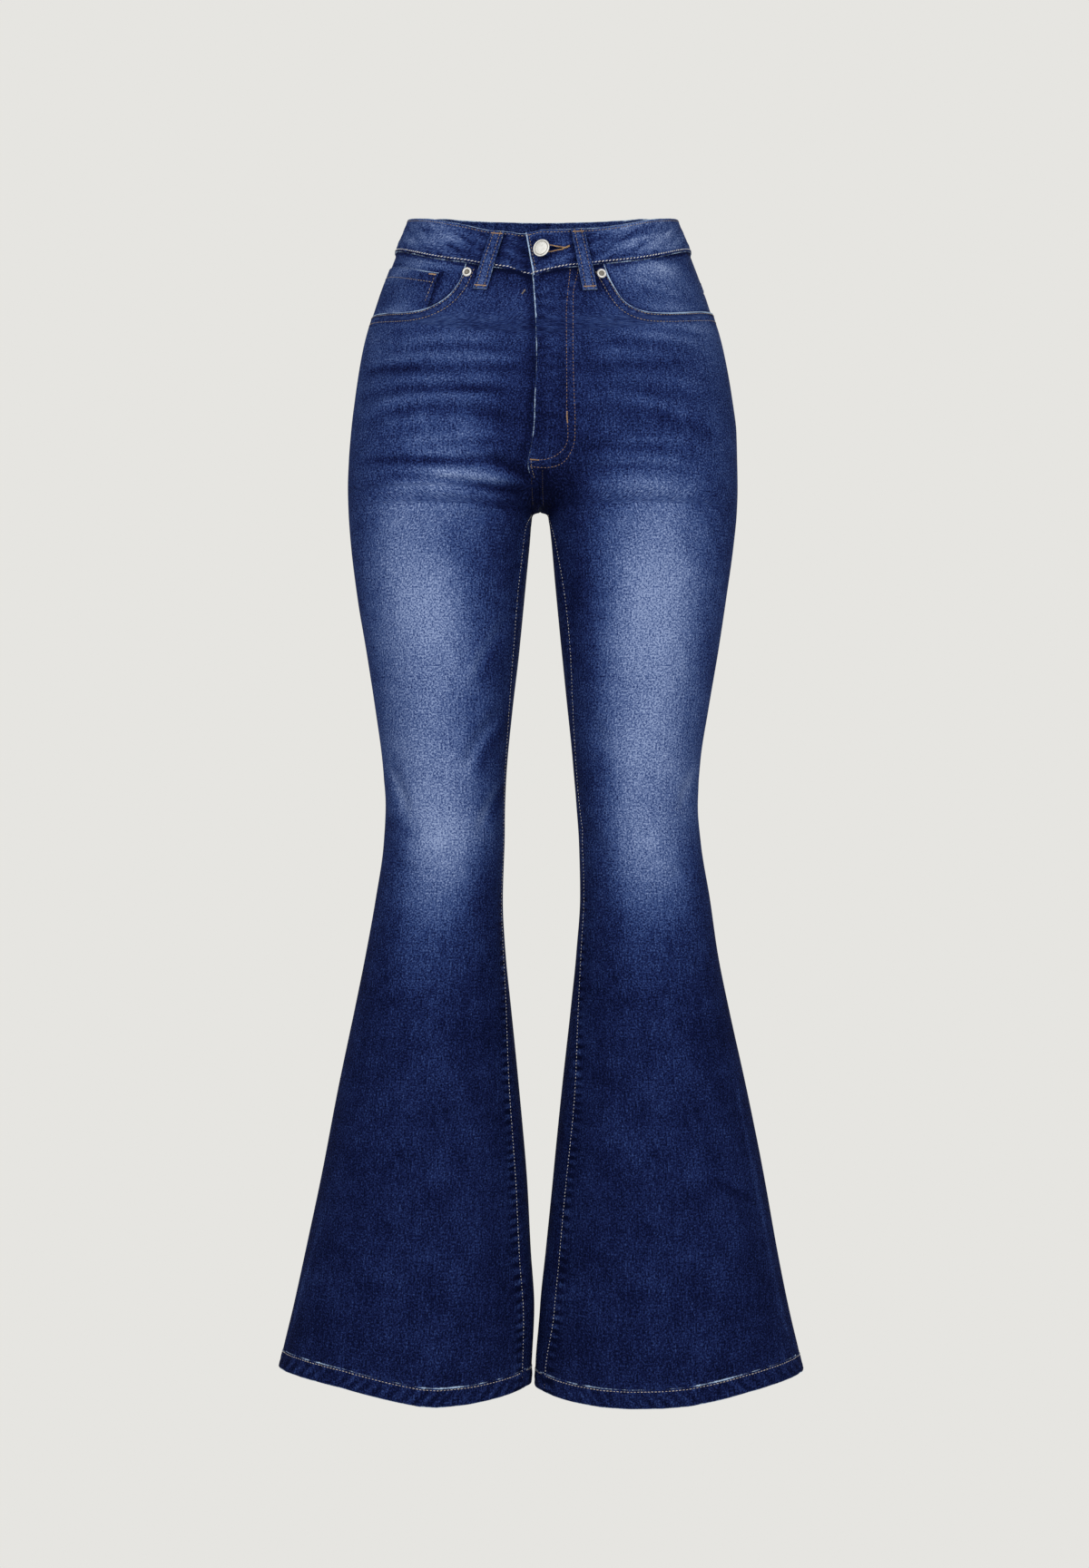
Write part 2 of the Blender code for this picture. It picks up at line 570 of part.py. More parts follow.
def keep_apart(side, points):
    """Near and below the crotch each side stays on its own side of the centre."""
    gap = SEAM / 2
    low = points[..., 2] < -258.0
    near = low & (points[..., 2] > -300.0)
    if side == "left":
        points[..., 0] = np.where(near, np.maximum(points[..., 0], -2.0 + gap), points[..., 0])
    else:
        points[..., 0] = np.where(near, np.minimum(points[..., 0], -2.0 - gap), points[..., 0])
    return points


def front_panel(side):
    scoop = SCOOP_LEFT if side == "left" else SCOOP_RIGHT
    seam = LEFT_SEAM if side == "left" else RIGHT_SEAM
    edge_gap = 0.0009
    rows = [(q, min(w, 1 - edge_gap), e, CLOTH) for q, w, e in scoop]
    rows += [(q, 1 - edge_gap, e, CLOTH) for q, e in HIP_ROWS_FRONT]
    rows += [(q, 1 - edge_gap, q, thick) for q, thick in leg_rows()]
    w_rows = []
    q_rows = []
    out_rows = []
    for n, (q_start, w_end, q_end, _) in enumerate(rows):
        fly = float(between(FLY_EDGE, q_start)) if q_start > CROTCH else 0.0
        lap = FLY_LAP if q_start > LAP_END else 0.0
        fly = max(fly, edge_gap)
        if side == "left":
            start = -fly if fly > edge_gap else edge_gap
            w = start + (w_end - start) * np.array(FRONT_STEPS)
            out = np.zeros(len(w))
        else:
            # The right front steps in and runs on under the fly edge of the left.
            start = fly - lap
            under = (start, fly - 0.25 * lap if lap else 0.006, fly + 0.012, fly + 0.05)
            w = np.concatenate([under, np.linspace(fly + 0.05, w_end, len(FRONT_STEPS) - 3)[1:]])
            out = np.where((np.arange(len(w)) < 3) & (q_start > STEP_END), -LAP_STEP, 0.0)
            even = edge_gap + (w_end - edge_gap) * np.array(FRONT_STEPS)
            w = w + (even - w) * float(ease((CROTCH - q_start) / 120.0))
        t = (w - w[0]) / (w[-1] - w[0])
        q = q_start + (q_end - q_start) * t
        if n == 0:
            q = between(seam, w) - SEAM
            if side == "right":
                q[:4] = -43.1
        w_rows.append(w)
        q_rows.append(q)
        out_rows.append(out)
    w = np.array(w_rows)
    q = np.array(q_rows)
    out = np.array(out_rows)
    thick = np.array([row[3] for row in rows])[:, None]
    outer = keep_apart(side, skin(side, w, q, out))
    inner = keep_apart(side, skin(side, w, q, out - thick))
    obj = slab("front_" + side, outer, inner)
    paint(obj, DENIM, 0.0, 0.9)
    return obj


def back_panel(side):
    edge_gap = 0.0009
    rows = [(a, b, CLOTH) for a, b in HIP_ROWS_BACK]
    rows += [(q, q, thick) for q, thick in leg_rows()]
    t = np.array(BACK_STEPS)
    w = np.array([1 + edge_gap + (1 - 2 * edge_gap) * t for _ in rows])
    q = np.array([a + (b - a) * t for a, b, _ in rows])
    thick = np.array([row[2] for row in rows])[:, None]
    outer = keep_apart(side, skin(side, w, q, 0.0))
    inner = keep_apart(side, skin(side, w, q, -thick))
    obj = slab("back_" + side, outer, inner)
    paint(obj, DENIM, 0.0, 0.9)
    return obj


def yoke(side):
    edge_gap = 0.0009
    t = np.linspace(0, 1, 11)
    w = np.tile(1 + edge_gap + (1 - 2 * edge_gap) * t, (5, 1))
    top = np.full(11, BAND_SEAM - SEAM)
    low = YOKE_SEAM_SIDE + (YOKE_SEAM_BACK - YOKE_SEAM_SIDE) * t
    q = np.array([top + (low - top) * s for s in np.linspace(0, 1, 5)])
    obj = slab("yoke_" + side, skin(side, w, q, 0.0), skin(side, w, q, -CLOTH))
    paint(obj, DENIM, 0.0, 0.9)
    return obj


def pocket_facing(side):
    rows = FACING_LEFT if side == "left" else FACING_RIGHT
    t = np.linspace(0, 1, 8)
    w = np.array([a + (0.9991 - a) * t for a, _, _ in rows])
    q = np.array([b + (c - b) * t for _, b, c in rows])
    obj = slab("pocket_facing_" + side, skin(side, w, q, FACING_OUT), skin(side, w, q, FACING_IN))
    paint(obj, DENIM, 0.0, 0.9)
    return obj


def coin_pocket():
    t = np.linspace(0, 1, 9)
    edge = [(w, q) for _, w, q in SCOOP_RIGHT]
    w_top = 0.455 + (0.985 - 0.455) * t
    w_low = 0.478 + (0.985 - 0.478) * t
    q_top = -46.0 - 3.0 * t
    q_low = between(edge, w_low) + 1.0
    rows = np.linspace(0, 1, 5)
    w = np.array([w_top + (w_low - w_top) * s for s in rows])
    q = np.array([q_top + (q_low - q_top) * s for s in rows])
    obj = slab("coin_pocket", skin("right", w, q, COIN_OUT), skin("right", w, q, COIN_IN))
    paint(obj, DENIM, 0.0, 0.9)
    return obj


def waistband():
    """One strip from the over-end at the fly, round the left side and the back, to the under-end."""
    over = np.array((-0.02, 0.0, 0.03, 0.07, 0.13, 0.2))
    left = np.concatenate([over, np.linspace(0.27, 1.95, 24)])
    right = np.concatenate([np.linspace(1.95, 0.22, 25), (0.15, 0.118, 0.1, 0.06, 0.0, -0.06, -0.11)])
    grids = {}
    for name, w in (("left", left), ("right", right)):
        seam = between(LEFT_SEAM if name == "left" else RIGHT_SEAM, w)
        steps = np.array((0.0, 0.34, 0.67, 1.0))
        q = steps[:, None] * seam[None, :]
        wide = np.tile(w, (4, 1))
        step = np.zeros(len(w))
        if name == "right":
            step = -UNDER_STEP * ease((0.15 - w) / 0.04)
        grids[name] = [skin(name, wide, q, step + BAND_OUT), skin(name, wide, q, step + BAND_IN)]
    # The over-end is cut on a slant.
    steps = np.array((0.0, 0.34, 0.67, 1.0))
    end_w = -0.077 + 0.04 * steps
    end_q = -42.5 * steps
    near_w = -0.05 + 0.015 * steps
    near_q = -41.0 * steps
    ends = []
    for out in (BAND_OUT, BAND_IN):
        ends.append(np.stack([skin("left", end_w, end_q, out), skin("left", near_w, near_q, out)], 1))
    seam_back = skin("left", np.full(4, 2.0), steps * BAND_SEAM, BAND_OUT)[:, None]
    seam_in = skin("left", np.full(4, 2.0), steps * BAND_SEAM, BAND_IN)[:, None]
    outer = np.concatenate([ends[0], grids["left"][0], seam_back, grids["right"][0]], 1)
    inner = np.concatenate([ends[1], grids["left"][1], seam_in, grids["right"][1]], 1)
    band = slab("waistband", outer, inner)
    paint(band, DENIM, 0.0, 0.9)
    # The keyhole buttonhole goes through the over-end only.
    hole_w = np.array((-0.016, -0.012, 0.0, 0.012, 0.018, 0.026, 0.122, 0.126))
    hole_half = np.array((0.6, 2.4, 3.2, 2.4, 1.2, 0.8, 0.8, 0.4))
    rows = np.array((-1.0, 1.0))
    q = BUTTON_Q + rows[:, None] * hole_half[None, :]
    wide = np.tile(hole_w, (2, 1))
    cutter = slab("buttonhole", skin("left", wide, q, 3.0), skin("left", wide, q, BAND_IN - 0.18), True)
    cutter.hide_render = True
    cutter.display_type = "WIRE"
    cut = band.modifiers.new("buttonhole", "BOOLEAN")
    cut.operation = "DIFFERENCE"
    cut.solver = "EXACT"
    cut.object = cutter
    return band


def belt_loop(name):
    side, w_top, w_low = LOOPS[name]
    path = np.array(LOOP_PATH)
    t = (path[:, 0] - path[0, 0]) / (path[-1, 0] - path[0, 0])
    w_mid = w_top + (w_low - w_top) * t
    half = 0.5 * LOOP_WIDE / 195.0 if w_top < 1 else 0.5 * LOOP_WIDE / 185.0
    w = w_mid[:, None] + half * np.array((-1.0, 0.0, 1.0))[None, :]
    q = np.tile(path[:, :1], (1, 3))
    lift = np.tile(path[:, 1:2], (1, 3))
    obj = slab(name, skin(side, w, q, lift + LOOP_CLOTH), skin(side, w, q, lift))
    paint(obj, DENIM, 0.0, 0.9)
    return obj


def back_pocket(side):
    across = np.linspace(-1, 1, 11)
    down = np.linspace(0, 1, 10)
    low = POCKET_SIDE + (POCKET_TIP - POCKET_SIDE) * (1 - abs(across))
    q = POCKET_TOP + (low[None, :] - POCKET_TOP) * down[:, None]
    w = np.zeros(q.shape)
    for i, row in enumerate(q):
        wide = POCKET_WIDE_TOP + (POCKET_WIDE_LOW - POCKET_WIDE_TOP) * down[i]
        for j, at in enumerate(row):
            w[i, j] = POCKET_W + across[j] * wide / length_of(side, at, 1.0, 2.0)
    obj = slab("back_pocket_" + side, skin(side, w, q, 1.9), skin(side, w, q, 0.6))
    paint(obj, DENIM, 0.0, 0.9)
    return obj


def zip_tape():
    """Both tapes and the closed teeth between them, behind the fly."""
    across = np.array((-0.04, 0.022, 0.026, 0.048, 0.052, 0.11))
    raised = np.array((0.0, 0.0, 1.3, 1.3, 0.0, 0.0))
    q = np.array((-46.0, -52.0, -75.0, -100.0, -125.0, -150.0, -175.0, -200.0, -222.0))
    w = np.tile(across, (len(q), 1))
    rows = np.tile(q[:, None], (1, len(across)))
    out = np.tile(raised, (len(q), 1)) - 6.0
    obj = slab("zip_tape", skin("left", w, rows, out), skin("left", w, rows, -6.8))
    paint(obj, (0.03, 0.04, 0.09), 0.0, 0.8)
    return obj


def zip_slider():
    w = np.tile(np.array((0.024, 0.037, 0.05)), (4, 1))
    q = np.tile(np.array((-50.0, -52.0, -60.0, -62.0))[:, None], (1, 3))
    out = np.array((-3.6, -2.9, -2.9, -3.6))[:, None] + np.zeros((1, 3))
    obj = slab("zip_slider", skin("left", w, q, out), skin("left", w, q, -4.35))
    paint(obj, METAL, 1.0, 0.35)
    return obj


def button():
    place = skin("left", np.array([BUTTON_W]), np.array([BUTTON_Q]), 0.0)[0]
    up = skin("left", np.array([BUTTON_W]), np.array([BUTTON_Q]), 1.0)[0] - place
    up = Matrix.Rotation(math.radians(4), 3, "Z") @ Vector(up)
    profile = (
        (0.0, -2.2), (2.0, -2.2), (2.0, 1.5), (5.6, 1.5), (8.0, 1.9), (8.35, 2.5), (8.2, 3.2), (7.5, 3.7),
        (6.7, 3.5), (6.0, 3.0), (4.2, 2.9), (3.4, 3.3), (2.0, 3.5), (0.0, 3.55),
    )
    obj = turned("button", place, up, profile, 20)
    paint(obj, METAL, 1.0, 0.3)
    return obj


def rivet(name):
    side, w = RIVET_W[name]
    place = skin(side, np.array([w]), np.array([RIVET_Q]), 0.0)[0]
    up = skin(side, np.array([w]), np.array([RIVET_Q]), 1.0)[0] - place
    profile = (
        (0.0, 0.35), (3.4, 0.35), (3.9, 0.7), (3.8, 1.3), (3.2, 1.8), (2.4, 1.9), (1.9, 1.5), (1.5, 1.1),
        (0.0, 1.1),
    )
    obj = turned(name, place, up, profile, 14)
    paint(obj, METAL, 1.0, 0.35)
    return obj


clear_scene()
for part_side in ("left", "right"):
    front_panel(part_side)
    back_panel(part_side)
    yoke(part_side)
    pocket_facing(part_side)
    back_pocket(part_side)
coin_pocket()
waistband()
for loop_name in LOOPS:
    belt_loop(loop_name)
zip_tape()
zip_slider()
button()
for rivet_name in RIVET_W:
    rivet(rivet_name)
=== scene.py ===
"""Looks of the flared jeans: cloth panels with their folds, fades and wear, and the sewn rows, buttonhole,
button and rivets."""

import math

import bpy
import numpy as np
from mathutils import Matrix, Vector
from mathutils.kdtree import KDTree


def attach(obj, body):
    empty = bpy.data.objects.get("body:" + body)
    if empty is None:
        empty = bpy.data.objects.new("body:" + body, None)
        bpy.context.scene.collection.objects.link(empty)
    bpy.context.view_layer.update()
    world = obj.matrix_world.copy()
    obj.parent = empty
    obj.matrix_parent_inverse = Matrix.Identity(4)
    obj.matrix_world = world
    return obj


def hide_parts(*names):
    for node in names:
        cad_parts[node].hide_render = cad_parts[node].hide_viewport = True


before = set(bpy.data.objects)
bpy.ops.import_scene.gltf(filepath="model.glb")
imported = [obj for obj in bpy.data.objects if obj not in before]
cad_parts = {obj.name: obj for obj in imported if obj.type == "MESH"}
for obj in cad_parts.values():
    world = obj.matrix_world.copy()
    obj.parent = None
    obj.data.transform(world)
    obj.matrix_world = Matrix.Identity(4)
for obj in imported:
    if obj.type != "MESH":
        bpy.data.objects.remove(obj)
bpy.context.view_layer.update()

# Sizes are in millimetres until a mesh is made. +Z is up, the front faces -Y, +X is the wearer's left.
MM = 0.001
CLOTH = 1.5
HEM_DEEP = 16.0
SIDES = ("left", "right")

# Levels along the garment, measured down from the top of the waistband at the side seams.
CROTCH = -273.0
BAND_SEAM = -34.0
TILT_END = -190.0
HEM = -1063.0
HEM_START = -880.0
# How far the waist dips at the front and rises at the back, and how deep it is to either.
FRONT_DIP = 31.0
BACK_LIFT = 19.0
WAIST_FRONT = 92.0
WAIST_BACK = 98.0
# How far the waist's edge lies off that even curve, as (waist's y, shift), and how much lower its under-end is.
WAIST_SHIFT = (
    (-95, -0.2), (-92, -0.2), (-88, -0.7), (-84, -0.3), (-79, 0.4), (-72, 0.8), (-66, 0.3), (-61, -0.3),
    (-53, -1.7), (-38, -3.2), (-21, -3.8), (-10, -3), (0, -1), (12, 0.2), (25, 1.5), (35, 2.9), (45, 4.4),
    (55, 5.7), (62, 6.2), (68, 6.2), (74, 5.2), (80, 3.8), (84, 3), (88, 1.8), (92, 0.7), (95, 0),
    (98, -1.1),
)
UNDER_DROP = 2.6

# The body of the jeans: one row for a level, with the side outlines, the gap between the legs,
# the depths to the front and back, the widest line's y, and how far the seams turn to the front.
SECTION_COLUMNS = (
    "level", "centre", "right_out", "left_out", "half_gap", "front", "back", "mid", "side_turn", "inseam_turn",
)
SECTIONS = (
    (40, 0, -117, 118, 0, 91, 96, 0, -3, 0), (0, 0, -123, 124, 0, 92, 98, 0, -3, 0),
    (-33, 0, -135.5, 137, 0, 97, 103, 0, -3, 0), (-75, 0, -151.6, 152.8, 0, 104, 110, 0, -4, 0),
    (-125, -0.5, -165.9, 167.4, 0, 110, 119, -2, -5, 0), (-176, -1, -173.5, 176, 0, 113, 126, -6, -5, 0),
    (-201, -1.4, -176, 178.6, 1, 112, 125.5, -9, -5, 0),
    (-226, -1.8, -177.7, 179, 3, 109, 121.5, -12, -5, 0),
    (-251, -2, -178.5, 179.3, 5.4, 104.5, 114.5, -14, -4, 0),
    (-273, -2, -177.9, 178.6, 7.3, 100, 107.5, -15, -4, 0),
    (-302, -1.5, -176, 176, 10, 96, 100.5, -13, -3, 12),
    (-352, -1.7, -170.1, 169.3, 14.7, 90, 94, -10, -2, 20),
    (-403, -1.7, -161.7, 161.7, 19.7, 84, 86, -8, -1, 21),
    (-453, -2.1, -154.1, 153.3, 25.2, 78, 78, -6, 0, 18),
    (-503, -2.1, -147.4, 145.7, 30.2, 72, 69, -5, 0, 14),
    (-541, -1.5, -144.6, 143.4, 32.8, 68, 62, -4, 0, 13),
    (-579, -0.5, -146.6, 146.6, 34.4, 64, 61, -2, 1, 12), (-629, -0.8, -154.1, 155, 35.7, 60, 65, 1, 3, 12),
    (-680, -1.3, -163.4, 162.5, 32.7, 59, 68, 3, 4, 13),
    (-730, -1.3, -173.5, 172.6, 27.7, 60, 69, 4, 5, 15),
    (-806, -1.7, -189.4, 189.4, 19.7, 63, 70, 4, 6, 17),
    (-881, -2.1, -203.7, 204.5, 12.6, 66, 71, 4, 7, 16), (-957, -3.8, -219.7, 218, 6.7, 69, 73, 3, 9, 15),
    (-1007, -4.8, -230.6, 228, 2.6, 71, 74, 2, 10, 14), (-1063, -8.2, -244, 241, 1.6, 74, 76, 1, 11, 13),
    (-1100, -9, -251, 248, 1.5, 75, 77, 1, 11, 13),
)
# How square the ovals of the legs and hips are, over what heights above the crotch the hips' oval fills out to
# the front and back, between what levels it becomes the legs, and how softly it meets them.
LEG_POWER = 2.15
HIP_POWER = 2.2
FRONT_RISE = 58.0
BACK_RISE = 95.0
JOIN_TOP = -150.0
JOIN_LOW = -262.0
BLEND = 0.16
# The height and half depth of the arch under the crotch.
ARCH = 5.0
ARCH_DEEP = 11.0
# How much narrower than the outline the hips' oval gets at the crotch, how far the legs' ovals are drawn in
# above it, and how thin the hips' oval may get.
HIP_NARROW = 0.35
LEG_HOLD = 0.22
THIN = 0.4
# How far out a section is looked for, in how many halvings and at how many angles.
FAR = 330.0
HALVINGS = 34
ANGLES = 481

# How far the cuff hangs below its side, as (w, drop): w is 0 at the inseam, 0.5 at the front, 1 at the side
# seam, 1.5 at the back and 2 at the inseam again.
CUFFS = {
    "left": (
        (0, 15.2), (0.08, 17.3), (0.15, 19), (0.25, 20.8), (0.34, 21), (0.46, 19.7), (0.54, 17.8),
        (0.64, 13.2), (0.74, 7.8), (0.84, 3.6), (0.92, 1.2), (1, 0), (1.14, 4), (1.3, 14), (1.5, 19),
        (1.75, 18.6), (2, 15.2),
    ),
    "right": (
        (0, 12), (0.1, 14.6), (0.25, 18.4), (0.36, 19.6), (0.42, 18.2), (0.5, 14.1), (0.6, 8.4), (0.7, 2.8),
        (0.8, -0.7), (0.9, -3), (1, -3.3), (1.14, 1.5), (1.3, 12.5), (1.5, 18.5), (1.75, 18), (2, 12),
    ),
}

# What changes sign in the mirror image of a line's row and of a patch's row: x and the bend, x and the turn.
LINE_FLIPS = (0, 2, 4)
PATCH_FLIPS = (0, 4)


def both_sides(flips, *rows):
    """Each row after its mirror image, in which the numbers at `flips` change sign."""
    pairs = []
    for row in rows:
        pairs.append(tuple(-value if k in flips else value for k, value in enumerate(row)))
        pairs.append(row)
    return pairs


# The folds on the front and back half: each is a line between two places, as x and level twice, with its
# bend, its depth into the body (a ridge is negative) and its half width.
FOLDS = {
    "front": (
        # across the right hip, from the side seam towards the fly
        (-160.4, -150, -103.5, -152.4, -0.5, 2.2, 4.5), (-110, -153.2, -25.6, -157.3, 0.4, 1.2, 4.5),
        (-160.4, -174.3, -25.6, -178.4, 5.2, 2.4, 5), (-160.4, -198.7, -30.5, -201.9, 10.5, 2, 5.5),
        (-136, -220.6, -49.9, -212.5, 0.3, -1.2, 5.5), (-157.1, -234.4, -42.6, -236, -1.7, 2.4, 4.5),
        (-49.9, -235.2, -14.2, -249.8, 2.9, 2, 4.5), (-115.7, -248, -25.6, -253.6, 0.5, -1.2, 4.5),
        (-103.5, -252.3, -16.6, -260.4, -0.3, 2.6, 4.5), (-127.9, -270.1, -30.5, -274.2, -1.2, 1.2, 5),
        (-144.1, -135.4, -33.7, -140.3, 1.4, 0.9, 4.5),
        # across the left hip
        (46.7, -152.4, 140.1, -143.5, -3, 1.2, 5), (67, -171.1, 156.3, -177.6, -1.9, 1.3, 5),
        (46.7, -191.4, 156.3, -212.5, 4.6, 1.9, 6), (34.5, -224.7, 132, -226.3, 0.7, 1.5, 5),
        (34.5, -244.1, 136, -247.4, 3, 1.6, 5), (42.6, -257.9, 119.8, -260.4, 2.7, -0.9, 6),
        (38.6, -273.4, 136, -273.4, 1.6, 1.1, 5.5), (93, -113.5, 153.1, -114.3, 1.2, -0.8, 5),
        # from the crotch down into the thighs
        (-24, -272, -74, -286, 4, 1.6, 5), (20, -270, 66, -290, -4, 1.4, 5.5),
        (-27, -371, -60, -422, -3, 1.6, 5), (-38, -380, -72, -440, -3, -0.9, 5),
        (-33, -454, -68, -508, -4, 1.8, 5.5), (-37, -528, -56, -567, -2, 1.6, 5),
        (29, -449, 56, -491, 3, 1, 6), (35, -559, 60, -598, 2, 1.2, 6),
        # beside the knees
        (-139, -508, -123, -551, 2, 1.8, 5.5), (-138, -585, -112, -606, -2, 1.2, 6),
        (139, -516, 127, -547, -2, 1.6, 5.5), (136, -590, 112, -612, 2, 1, 6),
        # in the flares
        (171, -897, 205, -916, -2, 2, 5.5), (160, -878, 190, -892, -2, 1.2, 6),
        (62, -793, 96, -830, 3, 1.6, 7), (84, -842, 128, -868, 3, 1.2, 7), (70, -930, 112, -962, 3, 1.2, 8),
        (-60, -812, -94, -853, -3, 1.4, 8), (-118, -842, -176, -862, 4, 1.2, 9),
        (-150, -760, -170, -820, 3, 1, 10),
    ),
    "back": (
        # under the seat, behind the thighs and behind the knees
        *both_sides(
            LINE_FLIPS,
            (150, -282, 46, -300, 5, 2.8, 8), (140, -322, 60, -340, 5, 1.9, 8),
            (158, -246, 120, -262, 2, 1.4, 6), (136, -520, 52, -534, 4, 2.8, 7),
            (130, -560, 58, -550, -4, 2.6, 7), (128, -578, 80, -572, -2, -1.2, 6),
            (138, -598, 70, -580, -4, 1.8, 7), (146, -640, 96, -616, -3, 1.2, 8),
        ),
        (-110, -356, -40, -352, -4, 1.2, 7), (112, -360, 42, -354, 4, 1.2, 7),
        (-20, -236, -58, -258, 2, 1.6, 6), (18, -236, 56, -258, -2, 1.6, 6),
        (-136, -500, -60, -506, -4, 1.6, 6), (134, -502, 58, -508, 4, 1.6, 6),
        (70, -860, 118, -892, 3, 1.3, 9), (-76, -846, -120, -884, -3, 1.3, 9),
    ),
}

# The fly edge of the left front, as (q, w): w is how far it is past the centre, on the right side.
FLY_EDGE = (
    (-273, 0), (-256, 0), (-250, 0.0155), (-244, 0.02), (-240, 0.0215), (-235, 0.0225), (-232, 0.022),
    (-188, 0.024), (-149, 0.019), (-96, 0.024), (-44, 0.039), (-30, 0.042),
)
# How far the right front runs on under the fly, down to what q, and how far it is stepped in.
FLY_LAP = 0.052
LAP_END = -257.0
LAP_STEP = 1.95

# The scoop pocket edges, row by row: the row's q at the centre, then the edge's place w and q.
SCOOP = {
    "right": (
        (-34.3, 0.336, -34.3), (-50, 0.349, -50), (-58, 0.364, -58), (-66, 0.386, -66.5),
        (-74, 0.418, -74.5), (-81.5, 0.46, -81.5), (-88, 0.515, -87), (-94, 0.6, -90.6),
        (-100, 0.72, -92.2), (-106, 0.86, -93), (-112, 1, -93.5),
    ),
    "left": (
        (-34.3, 0.266, -34.3), (-50, 0.288, -50), (-58, 0.302, -58), (-66, 0.318, -66.5), (-74, 0.342, -75),
        (-81.5, 0.378, -81.8), (-88, 0.44, -87.4), (-94, 0.55, -90), (-100, 0.7, -90.6),
        (-106, 0.85, -90.4), (-112, 1, -90),
    ),
}
# Rows of the fronts below the pockets, as q at the centre and q at the side seam.
HIP_ROWS_FRONT = (
    (-121, -104), (-130, -116), (-139, -128), (-148, -140), (-157, -151), (-166, -162), (-175, -172.5),
    (-184, -183), (-193, -192.5), (-202, -202),
)
HIP_ROWS_BACK = (
    (-67.3, -98.3), (-80, -108), (-93, -118), (-106, -129), (-119, -140), (-132, -151), (-145, -162),
    (-158, -173), (-172, -183), (-187, -193), (-202, -202),
)
# The waistband's lower seam, as (w, q): it dips towards the button.
SEAM = {
    "left": (
        (-0.2, -42.5), (-0.04, -42.5), (0.03, -38.6), (0.1, -35.6), (0.25, -34), (2, -34),
    ),
    "right": (
        (-0.2, -42.5), (0.075, -42.5), (0.1, -38.2), (0.35, -34), (2, -34),
    ),
}
# How far the waistband's two faces lie off the cloth's form, and how far in its under-end is.
BAND_OUT = 0.8
BAND_IN = -2.2
UNDER_STEP = 3.4
# The yoke's lower seam, and where the fronts and the backs start above their seams.
YOKE_SEAM_SIDE = -67.0
YOKE_SEAM_BACK = -98.0
FRONT_TOP = -34.3
BACK_TOP = -67.3
# How far the cloth runs up under the waistband.
UNDER_BAND = 1.2

# The pocket facings, row by row: the front edge's w and q, then the row's q at the side seam.
FACING = {
    "right": (
        (0.27, -34.3, -34.3), (0.276, -50, -44), (0.296, -64, -54), (0.33, -77, -64), (0.385, -90, -75),
        (0.45, -98, -86), (0.56, -104, -97), (0.74, -106.5, -107.5),
    ),
    "left": (
        (0.195, -34.3, -34.3), (0.212, -48, -44), (0.232, -62, -54), (0.265, -76, -64), (0.32, -89, -75),
        (0.4, -98, -86), (0.52, -103, -96), (0.72, -104.5, -104.5),
    ),
}
# How far the facings and the coin pocket lie off the cloth's form.
FACING_OUT = -2.7
COIN_OUT = -0.8

# Belt loops: the side, and w at the top and at the bottom. Their way down is (q, lift) off the cloth.
LOOP_WIDE = 12.0
LOOP_CLOTH = 1.6
LOOPS = {
    "belt_loop_front_right": ("right", 0.205, 0.257),
    "belt_loop_front_left": ("left", 0.162, 0.195),
    "belt_loop_side_left": ("left", 1.13, 1.12),
    "belt_loop_side_right": ("right", 1.18, 1.17),
    "belt_loop_back": ("left", 2.0, 2.0),
}
LOOP_PATH = (
    (-0.5, 1.2), (-2.5, 1.3), (-6, 1.9), (-11, 2.5), (-18, 2.7), (-27, 2.7), (-36, 2.5), (-41, 2), (-46, 1),
    (-50, 0.45), (-59, 0.45),
)

# The back pockets: w at their middle, the q of the corners and the tip, and their half widths.
POCKET_W = 1.633
POCKET_TOP = -108.0
POCKET_SIDE = -206.0
POCKET_TIP = -226.0
POCKET_WIDE_TOP = 68.0
POCKET_WIDE_LOW = 57.0

# Where the button and the rivets are.
BUTTON_Q = -18.5
BUTTON_W = 0.003
RIVET_Q = -43.0
RIVET_W = {"rivet_right": ("right", 0.322), "rivet_left": ("left", 0.25)}

# The rows of the surface's table, closest at the crotch, and its columns for each half of w.
LEVELS = np.concatenate([
    np.arange(40.0, -240.0, -3.0), np.arange(-240.0, -264.0, -2.0),
    (-264.0, -266.0, -268.0, -270.0, -271.4, -272.4, -273.0, -273.6, -274.6, -276.0, -278.0, -280.5),
    np.arange(-283.0, -300.0, -3.0), np.arange(-302.0, -1101.0, -4.0)])
ACROSS = 120


# ---- The surface -------------------------------------------------------------------------------

def smooth(x, y, at):
    """Monotone cubic pieces through (x, y), with x rising, read at the given places."""
    x = np.asarray(x, float)
    y = np.asarray(y, float)
    step = np.diff(x)
    rise = np.diff(y) / step
    slope = np.concatenate([rise[:1], np.zeros(len(rise) - 1), rise[-1:]])
    same = rise[:-1] * rise[1:] > 0
    total = np.where(same, rise[:-1] + rise[1:], 1.0)
    slope[1:-1] = np.where(same, 2 * rise[:-1] * rise[1:] / total, 0.0)
    i = np.clip(np.searchsorted(x, at, "right") - 1, 0, len(step) - 1)
    t = (at - x[i]) / step[i]
    start = (1 + 2 * t) * (1 - t) ** 2 * y[i] + t * (1 - t) ** 2 * step[i] * slope[i]
    return start + t * t * (3 - 2 * t) * y[i + 1] + t * t * (t - 1) * step[i] * slope[i + 1]


def curve(rows, at, column=1):
    """A column of rows, smoothly, at the given values of the first column."""
    rows = np.array(sorted(rows), float)
    return smooth(rows[:, 0], rows[:, column], at)


def ease(t):
    """0 to 1 with level ends."""
    t = np.clip(t, 0.0, 1.0)
    return t * t * (3 - 2 * t)


def bell(x, wide):
    """1 in the middle, falling away over `wide`."""
    return np.exp(-(x / wide) ** 2)


